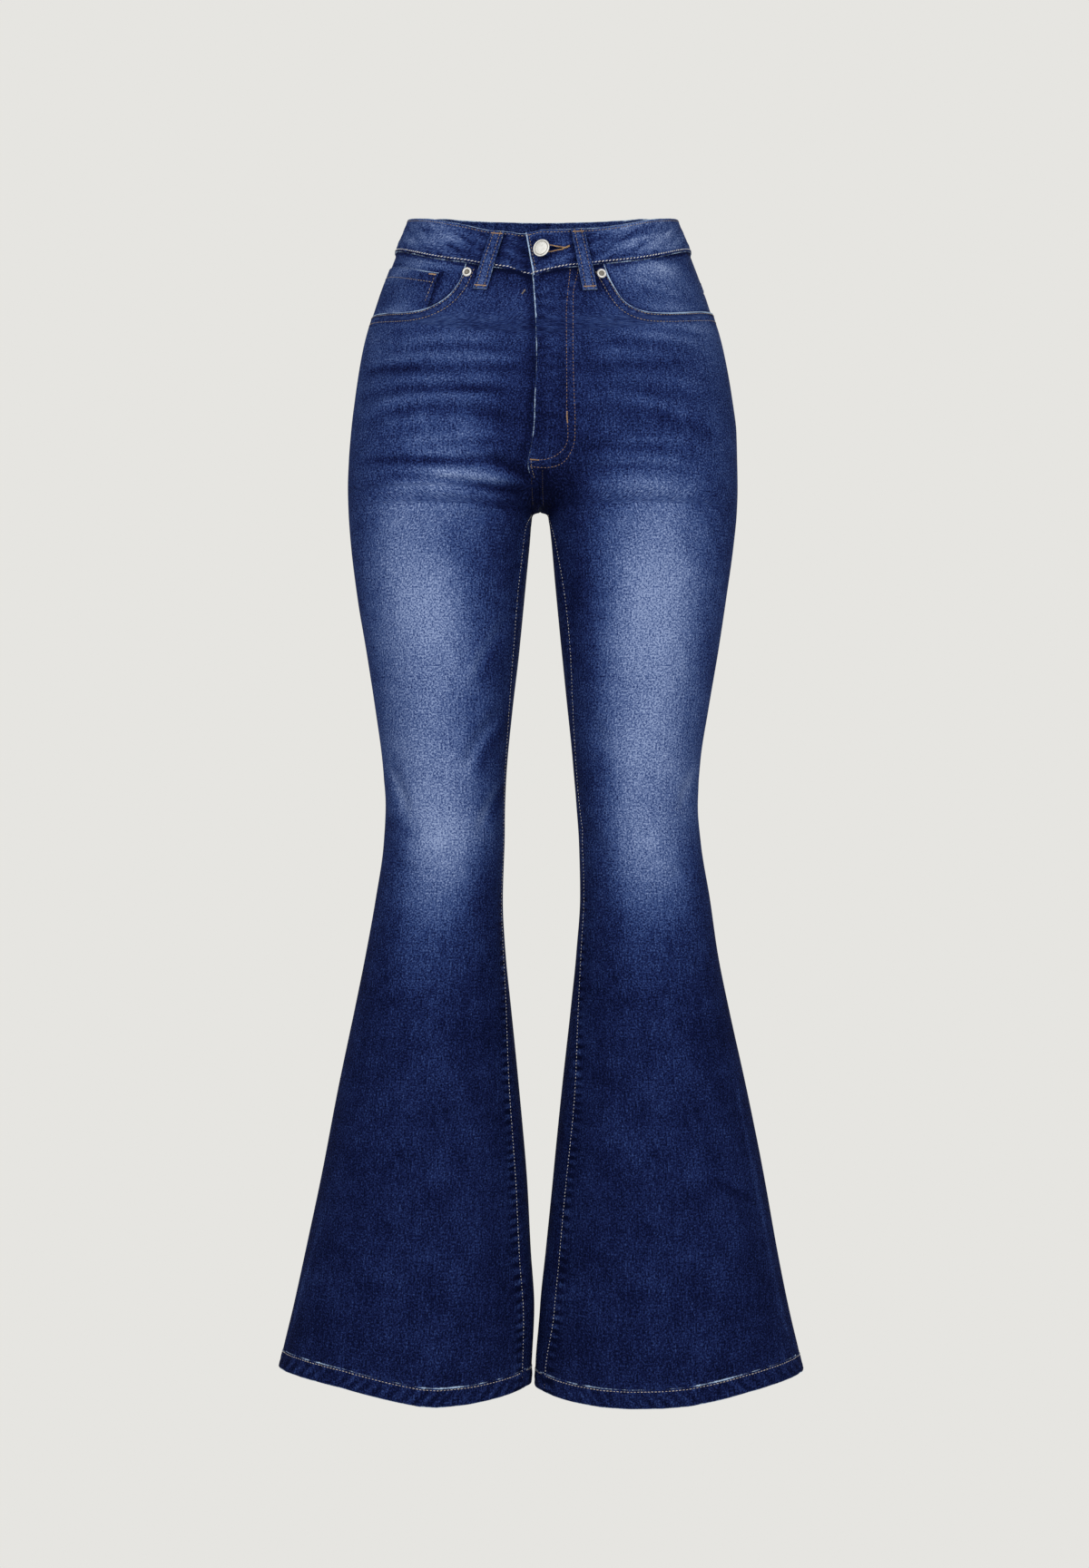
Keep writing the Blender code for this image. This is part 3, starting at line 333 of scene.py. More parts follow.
def quarter(t):
    """A quarter circle's height over its run t, from 0 to 1."""
    t = min(1.0, max(0.0, t))
    return math.sqrt(1 - (1 - t) ** 2)


def oval(x, y, power):
    """Below 0 inside a full oval of half width and half depth 1, and above 0 outside it."""
    return (abs(x) ** power + abs(y) ** power) ** (1 / power) - 1


def section(side, level):
    """The (x, y) of one side at one level, along w from 0 to 1 at the front and on to 2 at the back."""
    at = {name: float(curve(SECTIONS, level, k)) for k, name in enumerate(SECTION_COLUMNS) if k}
    centre, inner, front, back, mid = (at[name] for name in ("centre", "half_gap", "front", "back", "mid"))
    sign = 1.0 if side == "left" else -1.0
    outer = sign * (at[side + "_out"] - centre)
    above = level > CROTCH
    leg_x = 0.5 * (inner + outer)
    leg_a = 0.5 * (outer - inner)
    join = float(ease((JOIN_TOP - level) / (JOIN_TOP - JOIN_LOW)))
    hip_a = outer * (1 - HIP_NARROW * join)
    lift = LEG_HOLD * (1 - join)
    hip_front = max(THIN, (front + mid) * quarter((level - CROTCH) / FRONT_RISE))
    hip_back = max(THIN, (back - mid) * quarter((level - CROTCH) / BACK_RISE))

    def field(x, y):
        dy = y - mid
        leg_b = np.where(dy < 0, front + mid, back - mid)
        leg = oval((x - leg_x) / leg_a, dy / leg_b, LEG_POWER)
        if not above:
            return leg
        hip_b = np.where(dy < 0, hip_front, hip_back)
        hip = oval(x / hip_a, dy / hip_b, HIP_POWER)
        leg = leg + lift
        share = np.clip(0.5 + 0.5 * (leg - hip) / BLEND, 0, 1)
        return leg * (1 - share) + hip * share - BLEND * share * (1 - share)

    def reach(x0, y0, dx, dy):
        low = np.zeros(np.shape(dx))
        high = np.full(np.shape(dx), FAR)
        for _ in range(HALVINGS):
            half = 0.5 * (low + high)
            inside = field(x0 + half * dx, y0 + half * dy) < 0
            low = np.where(inside, half, low)
            high = np.where(inside, high, half)
        return 0.5 * (low + high)

    if above:
        run = reach(0.0, mid, np.zeros(2), np.array((-1.0, 1.0)))
        first = math.pi - math.atan2(run[0], leg_x)
        last = -math.pi + math.atan2(run[1], leg_x)
    else:
        first = math.pi - math.radians(at["inseam_turn"])
        last = first - 2 * math.pi
    turn = math.radians(at["side_turn"])
    halves = []
    for start, end in ((first, turn), (turn, last)):
        angle = np.linspace(start, end, ANGLES)
        dx, dy = np.cos(angle), -np.sin(angle)
        run = reach(leg_x, mid, dx, dy)
        halves.append(np.stack([leg_x + run * dx, run * dy], 1))
    far = max(halves[0][:, 0].max(), halves[1][:, 0].max())
    low = min(halves[0][:, 1].min(), halves[1][:, 1].min())
    high = max(halves[0][:, 1].max(), halves[1][:, 1].max())
    # Under the crotch the inner edge runs up to the centre in an arch.
    arch = 0.0 if above else inner * (1 - quarter((CROTCH - level) / ARCH))
    # The folds between the legs take less of w than their length, so that w runs straight down.
    close = float(ease((level + 340.0) / 60.0) * ease((-195.0 - level) / 50.0))
    rows = []
    for points in halves:
        points[:, 0] *= outer / far
        if not above:
            points[:, 1] *= np.where(points[:, 1] < 0, (-front - mid) / low, (back - mid) / high)
            inside = np.clip((leg_x - points[:, 0]) / leg_a, 0, 1) ** 4
            points[:, 0] -= arch * inside * bell(points[:, 1], ARCH_DEEP)
        middle = 0.5 * (points[1:, 0] + points[:-1, 0])
        weight = 1 - 0.6 * close * (1 - ease(middle / 40.0))
        run = np.concatenate([[0.0], np.cumsum(weight * np.hypot(*np.diff(points, axis=0).T))])
        want = np.linspace(0, run[-1], ACROSS + 1)
        x, y = (np.interp(want, run, points[:, k]) for k in (0, 1))
        rows.append(np.stack([centre + sign * x, mid + y], 1))
    return np.concatenate([rows[0], rows[1][1:]])


def unit(vectors):
    """The vectors brought to length 1."""
    return vectors / np.maximum(np.linalg.norm(vectors, axis=-1, keepdims=True), 1e-9)


def normals_of(grids):
    """Outward unit normals of the two sides' grids, shared along every seam."""
    totals = {}
    for side, grid in grids.items():
        face = np.cross(grid[1:, 1:] - grid[:-1, :-1], grid[1:, :-1] - grid[:-1, 1:])
        if side == "left":
            face = -face
        total = np.zeros_like(grid)
        for rows in (slice(0, -1), slice(1, None)):
            for columns in (slice(0, -1), slice(1, None)):
                total[rows, columns] += face
        totals[side] = total
    above = LEVELS > CROTCH + 0.01
    below = LEVELS < CROTCH - 0.01
    level = ~above & ~below
    left, right = (totals[side] for side in SIDES)
    for edge in (0, -1):
        both = left[:, edge] + right[:, edge]
        left[above, edge] = both[above]
        right[above, edge] = both[above]
    every = left[:, 0] + left[:, -1] + right[:, 0] + right[:, -1]
    for total in (left, right):
        both = total[:, 0] + total[:, -1]
        for edge in (0, -1):
            total[below, edge] = both[below]
            total[level, edge] = every[level]
    return {side: unit(total) for side, total in totals.items()}


def on_line(x, z, x_start, z_start, x_end, z_end, bend):
    """How far along a bowed line each place is, from 0 to 1, and how far beside it."""
    run_x = x_end - x_start
    run_z = z_end - z_start
    long = math.hypot(run_x, run_z)
    dx = x - x_start
    dz = z - z_start
    t = (dx * run_x + dz * run_z) / long ** 2
    return t, (dz * run_x - dx * run_z) / long - bend * 4 * t * (1 - t)


def fold_depth(points, half):
    """How far the folds of one half push the points into the body, with a low ridge beside each."""
    depth = np.zeros(points.shape[:-1])
    for *line, deep, wide in FOLDS[half]:
        t, off = on_line(points[..., 0], points[..., 2], *line)
        inside = (t > -0.3) & (t < 1.3) & (abs(off) < 3 * wide + abs(line[-1]))
        end_fade = ease(np.minimum(t + 0.12, 1.12 - t) / 0.34)
        groove = bell(off, wide)
        ridge = 0.35 * bell(abs(off) - 1.9 * wide, wide)
        depth += np.where(inside, deep * end_fade * (groove - ridge), 0.0)
    return depth


def make_surface():
    """For each side, a table of points and of normals over LEVELS and w."""
    grids = {}
    for side in SIDES:
        grid = np.zeros((len(LEVELS), 2 * ACROSS + 1, 3))
        for i, level in enumerate(LEVELS):
            grid[i, :, :2] = section(side, level)
            grid[i, :, 2] = level
        grids[side] = grid
    normals = normals_of(grids)
    w = np.linspace(0, 2, 2 * ACROSS + 1)
    # The folds fade out at the seams, where the layers hold the cloth.
    hold = ease(np.minimum(np.minimum(abs(w), abs(w - 1)), abs(w - 2)) / 0.1)
    for side, grid in grids.items():
        depth = np.where(w < 1, fold_depth(grid, "front"), fold_depth(grid, "back")) * hold
        grid -= normals[side] * depth[..., None]
    normals = normals_of(grids)
    return {side: (grids[side], normals[side]) for side in grids}


def look_up(table, w, level):
    """The table's value at w and level, between its rows and columns."""
    i = np.clip(np.searchsorted(-LEVELS, -level, "right") - 1, 0, len(LEVELS) - 2)
    t = ((level - LEVELS[i]) / (LEVELS[i + 1] - LEVELS[i]))[..., None]
    s = np.clip(w * ACROSS, 0, 2 * ACROSS - 1e-9)
    j = s.astype(int)
    f = (s - j)[..., None]
    top = table[i, j] * (1 - f) + table[i, j + 1] * f
    low = table[i + 1, j] * (1 - f) + table[i + 1, j + 1] * f
    return top * (1 - t) + low * t


SURFACE = make_surface()


def between(rows, at):
    """The second column of rows at the given values of the first."""
    ordered = sorted(rows)
    return np.interp(at, [row[0] for row in ordered], [row[1] for row in ordered])


def level_of(side, w, q):
    """The level of a place (w, q): q runs down the cloth, along the tilted waist and the curved cuff."""
    waist = look_up(SURFACE[side][0], w, np.zeros(w.shape))[..., 1]
    dip = np.where(waist < 0, -FRONT_DIP * (waist / WAIST_FRONT) ** 2, BACK_LIFT * (waist / WAIST_BACK) ** 2)
    hold = ease((q - TILT_END) / (BAND_SEAM - TILT_END))
    # Only the band's top edge is shifted, not its seam.
    top = np.clip(1 - q / BAND_SEAM, 0, 1)
    shift = between(WAIST_SHIFT, waist) * top
    if side == "right":
        shift = shift - UNDER_DROP * top * ease(w / 0.06) * (1 - ease((w - 0.2) / 0.2))
    return q + dip * hold + shift - between(CUFFS[side], w) * ease((HEM_START - q) / (HEM_START - HEM))


def skin(side, w, q, out):
    """Points on the cloth's form, moved out by `out`. A w below 0 or over 2 goes on round the other side."""
    w, q, out = np.broadcast_arrays(np.asarray(w, float), np.asarray(q, float), np.asarray(out, float))
    other = "right" if side == "left" else "left"
    over = (w < 0) | (w > 2)
    turned = np.where(w < 0, -w, np.where(w > 2, 4 - w, w))
    # Below the crotch the two ends of w meet on the same leg.
    same_leg = over & (q < CROTCH)
    turned = np.where(same_leg, np.where(w < 0, w + 2, w - 2), turned)
    over = over & ~same_leg
    places = []
    for name in (side, other):
        level = level_of(name, turned, q)
        point = look_up(SURFACE[name][0], turned, level)
        normal = unit(look_up(SURFACE[name][1], turned, level))
        places.append(point + normal * out[..., None])
    return np.where(over[..., None], places[1], places[0])


def length_of(side, q, start, end):
    """The length of the cloth at q between two values of w."""
    w = np.linspace(start, end, 40)
    points = skin(side, w, np.full(40, q), 0.0)
    return float(np.linalg.norm(np.diff(points, axis=0), axis=1).sum())


# ---- Fades and wear ----------------------------------------------------------------------------

# How pale the dye is: 0 is deep indigo and 1 is washed nearly to sky blue. First the ground along the
# garment, as (level, front, back), then soft patches (x, level, half width, half height, turn in degrees,
# amount) on the front, the back, the band and the pocket facings.
GROUND = (
    (60, 0.26, 0.24), (-60, 0.26, 0.24), (-150, 0.24, 0.24), (-230, 0.22, 0.22), (-270, 0.17, 0.2),
    (-330, 0.14, 0.16), (-560, 0.12, 0.12), (-660, 0.08, 0.08), (-740, 0.03, 0.04), (-900, 0.02, 0.03),
    (-1100, 0.015, 0.02),
)
FADES = {
    "front": (
        (-100, -150, 70, 60, 0, 0.07), (-80, -213, 45, 18, 0, 0.07), (-78, -247, 30, 9, 0, 0.1),
        (-150, -118, 16, 16, 0, 0.06), (-28, -207, 34, 28, 0, -0.08), (-92, -226, 24, 9, 0, 0.12),
        (-98, -293, 24, 18, 0, -0.06), (-150, -285, 14, 25, 0, -0.06), (152, -128, 20, 24, 0, 0.09),
        (55, -158, 35, 10, 0, -0.05), (80, -234, 52, 26, 0, -0.05), (135, -277, 14, 10, 0, -0.07),
        (36, -220, 18, 16, 0, -0.05), (44, -84, 16, 22, 0, -0.1), (-30, -76, 22, 14, 0, -0.12),
        (18, -78, 16, 14, 0, -0.07), (-40, -110, 30, 60, 0, -0.04), (-24, -200, 22, 70, 0, -0.09),
        (10, -130, 30, 110, 0, -0.08), (122, -118, 36, 14, 4, 0.1), (100, -236, 44, 22, 0, 0.1),
        (30, -190, 26, 70, 0, -0.07), (13, -206, 14, 32, 0, -0.1), (76, -190, 60, 36, 0, -0.03),
        (0, -262, 34, 20, 0, -0.13), (18, -262, 26, 26, 0, -0.08), (-26, -300, 22, 40, 0, -0.06),
        (30, -330, 22, 60, 0, -0.08), (-67, -247, 24, 12, 0, 0.05), (142, -100, 12, 14, 0, 0.12),
        (56, -78, 24, 14, 0, -0.06), (-96, -325, 30, 30, 0, -0.04), (40, -420, 16, 90, 3, -0.06),
    ),
    "back": (
        *both_sides(
            PATCH_FLIPS,
            (84, -168, 62, 66, 0, 0.22), (92, -380, 50, 110, 0, 0.32), (92, -520, 40, 60, 0, 0.12),
            (98, -680, 40, 70, 0, 0.1),
        ),
    ),
    "band": (
        (-98, -16, 24, 8, -22, 0.24), (-88, -38.5, 32, 7.5, -9, 0.3), (-120, -24, 11, 11, 0, 0.14),
        (94, -42, 36, 7, 8, 0.27), (60, -29, 20, 6.5, 12, 0.14), (-92, -34, 22, 6, -8, 0.14),
        (88, -33, 34, 5, 8, 0.12), (-80, -42, 30, 5, -12, -0.1), (-55, -44, 24, 16, -12, -0.1),
        (-22, -46, 20, 16, 0, -0.1), (40, -40, 24, 16, 0, -0.12), (82, -24, 26, 6, 18, 0.24),
        (62, -44, 20, 6, 14, 0.12), (76, -36, 30, 3.5, 16, -0.1), (112, -28, 18, 12, 12, 0.24),
    ),
    "facing": (
        (92, -62, 26, 13, 10, 0.34), (116, -74, 22, 14, 0, 0.14), (-106, -57, 28, 8.5, -8, 0.34),
        (-133, -64, 12, 8, 0, 0.12), (-134, -100, 16, 9, 0, 0.28), (128, -100, 34, 10, -2, 0.3),
        (116, -60, 14, 7, 0, 0.14), (-124, -84, 20, 10, 0, 0.06), (-96, -62, 16, 24, 0, -0.1),
    ),
}
# The washed column down the front of each leg: the level, its centre, how far it reaches towards the inner
# and the outer seam, and how much paler it is than the ground.
LEG_FADES = {
    "right": (
        (-236, 112, 50, 40, 0), (-262, 110, 54, 44, 0.3), (-284, 115, 56, 42, 0.49),
        (-309, 118, 54, 38, 0.54), (-342, 107, 43, 48, 0.63), (-374, 103, 44, 48, 0.67),
        (-407, 104, 49, 47, 0.6), (-440, 105, 50, 43, 0.54), (-472, 106, 50, 42, 0.51),
        (-504, 98, 42, 48, 0.58), (-536, 93, 37, 43, 0.65), (-567, 92, 39, 35, 0.74),
        (-601, 94, 34, 35, 0.54), (-634, 98, 29, 33, 0.37), (-666, 101, 29, 31, 0.2),
        (-699, 104, 27, 29, 0.14), (-740, 104, 32, 34, 0.06), (-820, 106, 44, 44, 0.045),
        (-960, 112, 50, 50, 0.02), (-1100, 112, 50, 50, 0.02),
    ),
    "left": (
        (-236, 98, 44, 40, 0), (-258, 100, 46, 42, 0.34), (-284, 104, 48, 42, 0.46),
        (-309, 102, 47, 46, 0.56), (-342, 98, 42, 51, 0.66), (-374, 98, 43, 49, 0.68),
        (-407, 95, 42, 47, 0.7), (-440, 97, 45, 46, 0.63), (-472, 92, 42, 48, 0.62),
        (-504, 88, 34, 55, 0.63), (-536, 90, 34, 52, 0.57), (-569, 91, 32, 41, 0.61),
        (-601, 95, 33, 36, 0.52), (-634, 94, 27, 42, 0.31), (-666, 96, 26, 36, 0.14),
        (-699, 98, 26, 36, 0.08), (-740, 100, 30, 36, 0.06), (-820, 104, 40, 36, 0.06),
        (-960, 112, 50, 50, 0.02), (-1100, 112, 50, 50, 0.02),
    ),
}
# Thin lines along the folds, written as the folds are, with amount and half width. The pale ones are partly the
# cloth's worn whiskers and partly painted highlight on the folds' ridges; the dark ones are painted shade in
# their valleys.
WHISKERS_AND_FOLD_SHADING = {
    "front": (
        (-75.1, -115.1, -28.8, -125.6, 1.4, -0.08, 3.5), (-135, -119, -90, -120.5, 0, -0.09, 4),
        (-90, -131.5, -42, -128.5, 0, 0.03, 4), (-90, -146, -20, -147.5, 0, 0.08, 3.5),
        (-140, -156.5, -70, -158.5, 0, -0.08, 4), (-105, -168, -45, -169, 0, 0.05, 3.5),
        (-116, -175, -45, -175, 0, -0.12, 3.5), (-100, -197.5, -40, -198.5, 0, -0.06, 3.5),
        (-112, -231, -68, -231, 0, 0.08, 4), (-118, -250, -95, -250.5, 0, -0.12, 5),
        (-85, -264, -25, -266.5, 0, 0.07, 4), (40, -252, 130, -254, 0, -0.05, 5),
        (-118.1, -128.9, -46.7, -130.5, 3.2, 0.13, 4), (-119.8, -134.6, -28.8, -141.1, 1.6, -0.09, 3),
        (-145.8, -143.5, -33.7, -147.6, 3.7, 0.1, 3.5), (-158.7, -150, -105.2, -152.4, -0.6, -0.24, 4),
        (-111.7, -153.2, -20.7, -157.3, 0.4, -0.12, 3.5), (-140.1, -165.4, -33.7, -167, 3.2, 0.08, 3.5),
        (-160.4, -174.3, -24, -178.4, 5.2, -0.17, 4), (-152.2, -184.1, -36.9, -182.5, 4.1, 0.1, 3.5),
        (-160.4, -198.7, -25.6, -202.7, 10.9, -0.13, 4.5), (-144.1, -205.2, -54.8, -201.9, 3.9, 0.08, 3.5),
        (-127.9, -221.4, -49.9, -211.7, 0.6, 0.14, 5), (-95.4, -222.2, -25.6, -221.4, 1.3, -0.08, 3),
        (-127.9, -228.7, -33.7, -227.1, -2.4, 0.08, 3), (-157.1, -233.6, -42.6, -236, -2.1, -0.2, 3.5),
        (-50.8, -235.2, -14.2, -250.6, 3.4, -0.2, 4), (-115.7, -248, -20.7, -254, 0, 0.38, 6),
        (-150.6, -253.1, -87.3, -253.1, 3.3, -0.12, 4), (-97, -252.3, -15.8, -260.4, -0.6, -0.32, 4),
        (-136, -260.4, -62.9, -261.2, 2.1, 0.16, 4), (-127.9, -270.1, -22.3, -274.2, -1.4, -0.13, 4.5),
        (-156.3, -278.2, -33.7, -279, 2.1, 0.08, 3), (93, -114.3, 149.8, -114.3, 0.8, 0.14, 4),
        (93, -119.2, 146.6, -122.4, 1.6, -0.08, 3), (63.7, -123.2, 144.1, -126.5, 0, 0.15, 3.5),
        (42.6, -133.8, 115.7, -132.9, 1.3, -0.08, 3.5), (54.8, -141.1, 111.7, -141.1, 1.6, 0.08, 3.5),
        (46.7, -152.4, 140.1, -143.5, -3, -0.09, 4), (67, -163, 160.4, -165.4, 0.3, 0.08, 4),
        (67, -171.1, 152.2, -177.6, -1.8, -0.09, 4), (46.7, -177.6, 136, -195.4, 1.6, 0.07, 4),
        (46.7, -191.4, 156.3, -212.5, 4.6, -0.11, 5), (67, -219.8, 132, -221.4, 2.4, 0.08, 4),
        (34.5, -224.7, 123.8, -226.3, 0.7, -0.09, 3.5), (46.7, -238.5, 136, -240.1, 3.2, 0.11, 4.5),
        (34.5, -244.1, 136, -247.4, 3, -0.12, 3.5), (34.5, -257.1, 119.8, -260.4, 2.4, 0.13, 5),
        (38.6, -273.4, 136, -272.5, 1.3, -0.1, 4.5), (-37, -375, -72, -440, -1, 0.14, 5),
        (-34, -392, -56, -436, -2, -0.1, 6), (-38, -464, -71, -518, -3, 0.17, 4.4),
        (-31, -462, -58, -514, -3, -0.13, 6), (-39, -520, -57, -565, -2, 0.19, 3.4),
        (-30, -520, -46, -560, -2, -0.12, 5), (-140, -508, -124, -548, 2, 0.2, 4),
        (-139, -556, -112, -570, -1, -0.12, 6), (-136, -572, -118, -606, -3, -0.08, 8),
        (139, -506, 127, -544, -2, 0.15, 4), (150, -877, 197, -904, -2, -0.1, 3.6),
        (48, -782, 98, -832, 3, -0.06, 8), (172, -776, 216, -997, 1, 0.14, 1.7),
        (216, -990, 225, -1030, 0, 0.14, 1.7), (-199, -915, -234, -1036, -1, 0.14, 1.8),
        (154, -869, 199, -896, -2, 0.05, 4), (54, -826, 98, -886, 4, 0.06, 7),
        (60, -880, 130, -902, 3, -0.03, 8),
    ),
    "facing": (
        (70, -52, 120, -63, 2, 0.12, 3), (64, -66, 112, -76, 2, -0.1, 3), (84, -71, 130, -85, 0, 0.1, 3),
        (-148, -64, -112, -56, 0, 0.08, 3),
    ),
    "band": (
        (58, -46, 120, -27, 1, 0.12, 2.6), (52, -38, 104, -21, -1, -0.11, 2.6),
        (70, -26, 124, -10, 0, 0.1, 2.4), (-120, -17, -68, -34, 1, 0.12, 2.6),
        (-114, -31, -60, -45, -1, -0.11, 2.6), (-128, -28, -86, -41, 0, 0.1, 2.4),
    ),
    "back": (
        *both_sides(
            LINE_FLIPS,
            (136, -530, 52, -544, 4, 0.12, 6), (132, -570, 60, -562, -4, 0.1, 6),
            (136, -510, 56, -518, 4, 0.1, 5), (146, -292, 50, -310, 5, 0.1, 6),
        ),
    ),
}


def fade_at(points, half):
    """How much the dye has faded at points of the front, the back, the band or the pocket facings, with the
    painted shade and highlights of the folds' whiskers.
    """
    x = points[..., 0]
    z = points[..., 2]
    fade_and_shade = curve(GROUND, z, 2 if half == "back" else 1)
    for middle, level, wide, tall, turn, amount in FADES[half]:
        turn = math.radians(turn)
        dx = x - middle
        dz = z - level
        along = (dx * math.cos(turn) + dz * math.sin(turn)) / wide
        up = (dz * math.cos(turn) - dx * math.sin(turn)) / tall
        fade_and_shade = fade_and_shade + amount * np.exp(-(along ** 2 + up ** 2) ** 1.25)
    if half == "front":
        for side, rows in LEG_FADES.items():
            level = np.clip(z, rows[-1][0], rows[0][0])
            centre, inner, outer, amount = (curve(rows, level, column) for column in range(1, 5))
            away = (x if side == "left" else -x) - centre
            reach = np.where(away < 0, inner, outer)
            fade_and_shade = fade_and_shade + amount * np.exp(-(abs(away) / reach) ** 2.5)
    for *line, amount, wide in WHISKERS_AND_FOLD_SHADING[half]:
        t, off = on_line(x, z, *line)
        end_fade = ease(np.minimum(t + 0.15, 1.15 - t) / 0.4)
        fade_and_shade = fade_and_shade + amount * end_fade * bell(off, wide)
    return fade_and_shade


# ---- Sewn rows ---------------------------------------------------------------------------------

# How far from a line its puckers and painted shade lines are worked out, and what stands for any farther place.
REACH = 15.0
BEYOND = 99.0


def lengths(points, axis=0):
    """How far along a line, or along the rows or columns of a grid, each of its points is."""
    steps = np.linalg.norm(np.diff(points, axis=axis), axis=-1)
    return np.insert(np.cumsum(steps, axis), 0, 0.0, axis)


def row_places(side, places, straight=False):
    """Places (w, q) a millimetre apart on a line through the given ones."""
    places = np.array(places, float)
    run = lengths(skin(side, places[:, 0], places[:, 1], 0.0))
    at = np.linspace(0, run[-1], max(3, int(run[-1]) + 1))
    if straight:
        return [np.interp(at, run, values) for values in places.T]
    return [smooth(run, values, at) for values in places.T]


def shifted(side, places, away):
    """The row that runs `away` millimetres to the left of another, seen from outside along its way."""
    w, q = row_places(side, places)
    here = skin(side, w, q, 0.0)
    up = skin(side, w, q, 1.0) - here
    by_w = (skin(side, w + 0.005, q, 0.0) - skin(side, w - 0.005, q, 0.0)) / 0.01
    by_q = (skin(side, w, q + 0.5, 0.0) - skin(side, w, q - 0.5, 0.0)) / 1.0
    on = np.gradient(here, axis=0)
    off = np.cross(up, on)
    off = away * off / np.linalg.norm(off, axis=1, keepdims=True)
    pairs = ((by_w, by_w), (by_w, by_q), (by_q, by_q), (off, by_w), (off, by_q))
    a, b, c, u, v = ((first * second).sum(1) for first, second in pairs)
    det = a * c - b * b
    return list(zip(w + (c * u - b * v) / det, q + (a * v - b * u) / det))


def near(points, line):
    """For each point, how far it is from a line and how far along the line that is."""
    flat = points.reshape(-1, 3)
    low = line.min(0) - REACH
    high = line.max(0) + REACH
    tree = KDTree(len(line))
    for i, place in enumerate(line):
        tree.insert(place, i)
    tree.balance()
    run = lengths(line)
    away = np.full(len(flat), BEYOND)
    along = np.zeros(len(flat))
    for k in np.nonzero(((flat > low) & (flat < high)).all(1))[0]:
        _, i, d = tree.find(flat[k])
        away[k] = d
        along[k] = run[i]
    return away.reshape(points.shape[:-1]), along.reshape(points.shape[:-1])


def ripple(along, pitch, seed):
    """An uneven wave of puckers between -1 and 1."""
    slow = 1.4 * np.sin(along / (2.9 * pitch) + 1.7 * seed) + 0.9 * np.sin(along / (1.3 * pitch) + 3.1 * seed)
    height = 0.72 + 0.28 * np.sin(along / (0.9 * pitch) + seed)
    return np.sin(2 * math.pi * along / pitch + slow) * height


# ---- Meshes ------------------------------------------------------------------------------------

# The first steps in from an edge.
NEAR_EDGE = [0.0, 0.35, 0.8, 1.4, 2.3]


def steps_between(start, end, pitch, fine_start=True, fine_end=True):
    """Values from start to end about `pitch` apart, closer together near the ends."""
    long = abs(end - start)
    low = NEAR_EDGE if fine_start else [0.0]
    high = [long - d for d in reversed(NEAR_EDGE)] if fine_end else [long]
    count = max(2, int(round((high[0] - low[-1]) / pitch)) + 1)
    middle = list(np.linspace(low[-1], high[0], count))[1:-1]
    return start + np.array(low + middle + high) * (1 if end > start else -1)


def spread(long, pitch, fine_start=True, fine_end=True):
    """Shares of a row from 0 to 1."""
    return steps_between(0.0, long, pitch, fine_start, fine_end) / long


def add_object(name, data):
    """A new object in the scene."""
    obj = bpy.data.objects.new(name, data)
    bpy.context.scene.collection.objects.link(obj)
    return obj


def object_from(name, points, faces, smooth_angle=42.0):
    """An object of points in millimetres, smooth but for its sharp angles."""
    mesh = bpy.data.meshes.new(name)
    mesh.from_pydata((np.asarray(points) * MM).tolist(), [], faces)
    mesh.polygons.foreach_set("use_smooth", [True] * len(mesh.polygons))
    mesh.set_sharp_from_angle(angle=math.radians(smooth_angle))
    mesh.update()
    return add_object(name, mesh)


def shell_faces(rows, columns, holes=()):
    """Quads of an outer grid, of the inner grid behind it and of the walls where either ends."""
    keep = np.ones((rows - 1, columns - 1), bool)
    for i0, i1, j0, j1 in holes:
        keep[i0:i1, j0:j1] = False
    shift = rows * columns
    i, j = np.nonzero(keep)
    a = i * columns + j
    outer = np.stack([a, a + 1, a + columns + 1, a + columns], 1)
    inner = np.stack([a, a + columns, a + columns + 1, a + 1], 1) + shift
    padded = np.pad(keep, 1)
    walls = []
    sides = ((-1, 0, 0, 1), (1, 0, columns + 1, columns), (0, -1, columns, 0), (0, 1, 1, columns + 1))
    for di, dj, first, second in sides:
        i, j = np.nonzero(keep & ~padded[1 + di:rows + di, 1 + dj:columns + dj])
        a = i * columns + j + first
        b = i * columns + j + second
        walls.append(np.stack([a, a + shift, b + shift, b], 1))
    return outer, inner, np.concatenate(walls)


def shell(name, outer, inner, flip, holes=()):
    """A closed shell between two grids; its inner faces take the second material."""
    rows, columns = outer.shape[:2]
    front, behind, walls = shell_faces(rows, columns, holes)
    faces = np.concatenate([front, behind, walls])
    if flip:
        faces = faces[:, ::-1]
    points = np.concatenate([outer.reshape(-1, 3), inner.reshape(-1, 3)])
    obj = object_from(name, points, faces.tolist())
    inside = np.zeros(len(faces), np.int32)
    inside[len(front):len(front) + len(behind)] = 1
    obj.data.polygons.foreach_set("material_index", inside)
    return obj


def give(obj, name, values):
    """A number for each point of the outer grid, repeated on the inner grid."""
    values = np.asarray(values, np.float32).ravel()
    count = len(obj.data.vertices)
    both = np.concatenate([values, values])[:count]
    attribute = obj.data.attributes.new(name, "FLOAT", "POINT")
    attribute.data.foreach_set("value", np.ascontiguousarray(both))


def give_uv(obj, u, v):
    """The cloth's own map in metres, on every corner."""
    flat = np.stack([np.asarray(u).ravel(), np.asarray(v).ravel()], 1) * MM
    both = np.concatenate([flat, flat])
    corners = np.zeros(len(obj.data.loops), np.int32)
    obj.data.loops.foreach_get("vertex_index", corners)
    layer = obj.data.uv_layers.new(name="cloth")
    layer.data.foreach_set("uv", both[corners].astype(np.float32).ravel())


def roll(away, round_off):
    """How far an edge is rounded off, at a distance from it."""
    t = np.clip(1 - away / (1.5 * round_off), 0, 1)
    return round_off * (1 - np.sqrt(1 - 0.96 * t * t))


def side_of(piece):
    return "left" if piece.endswith("left") else "right"


# Every row of stitches: the piece that it is on, its side, its thread, and the points it passes.
ROWS = []


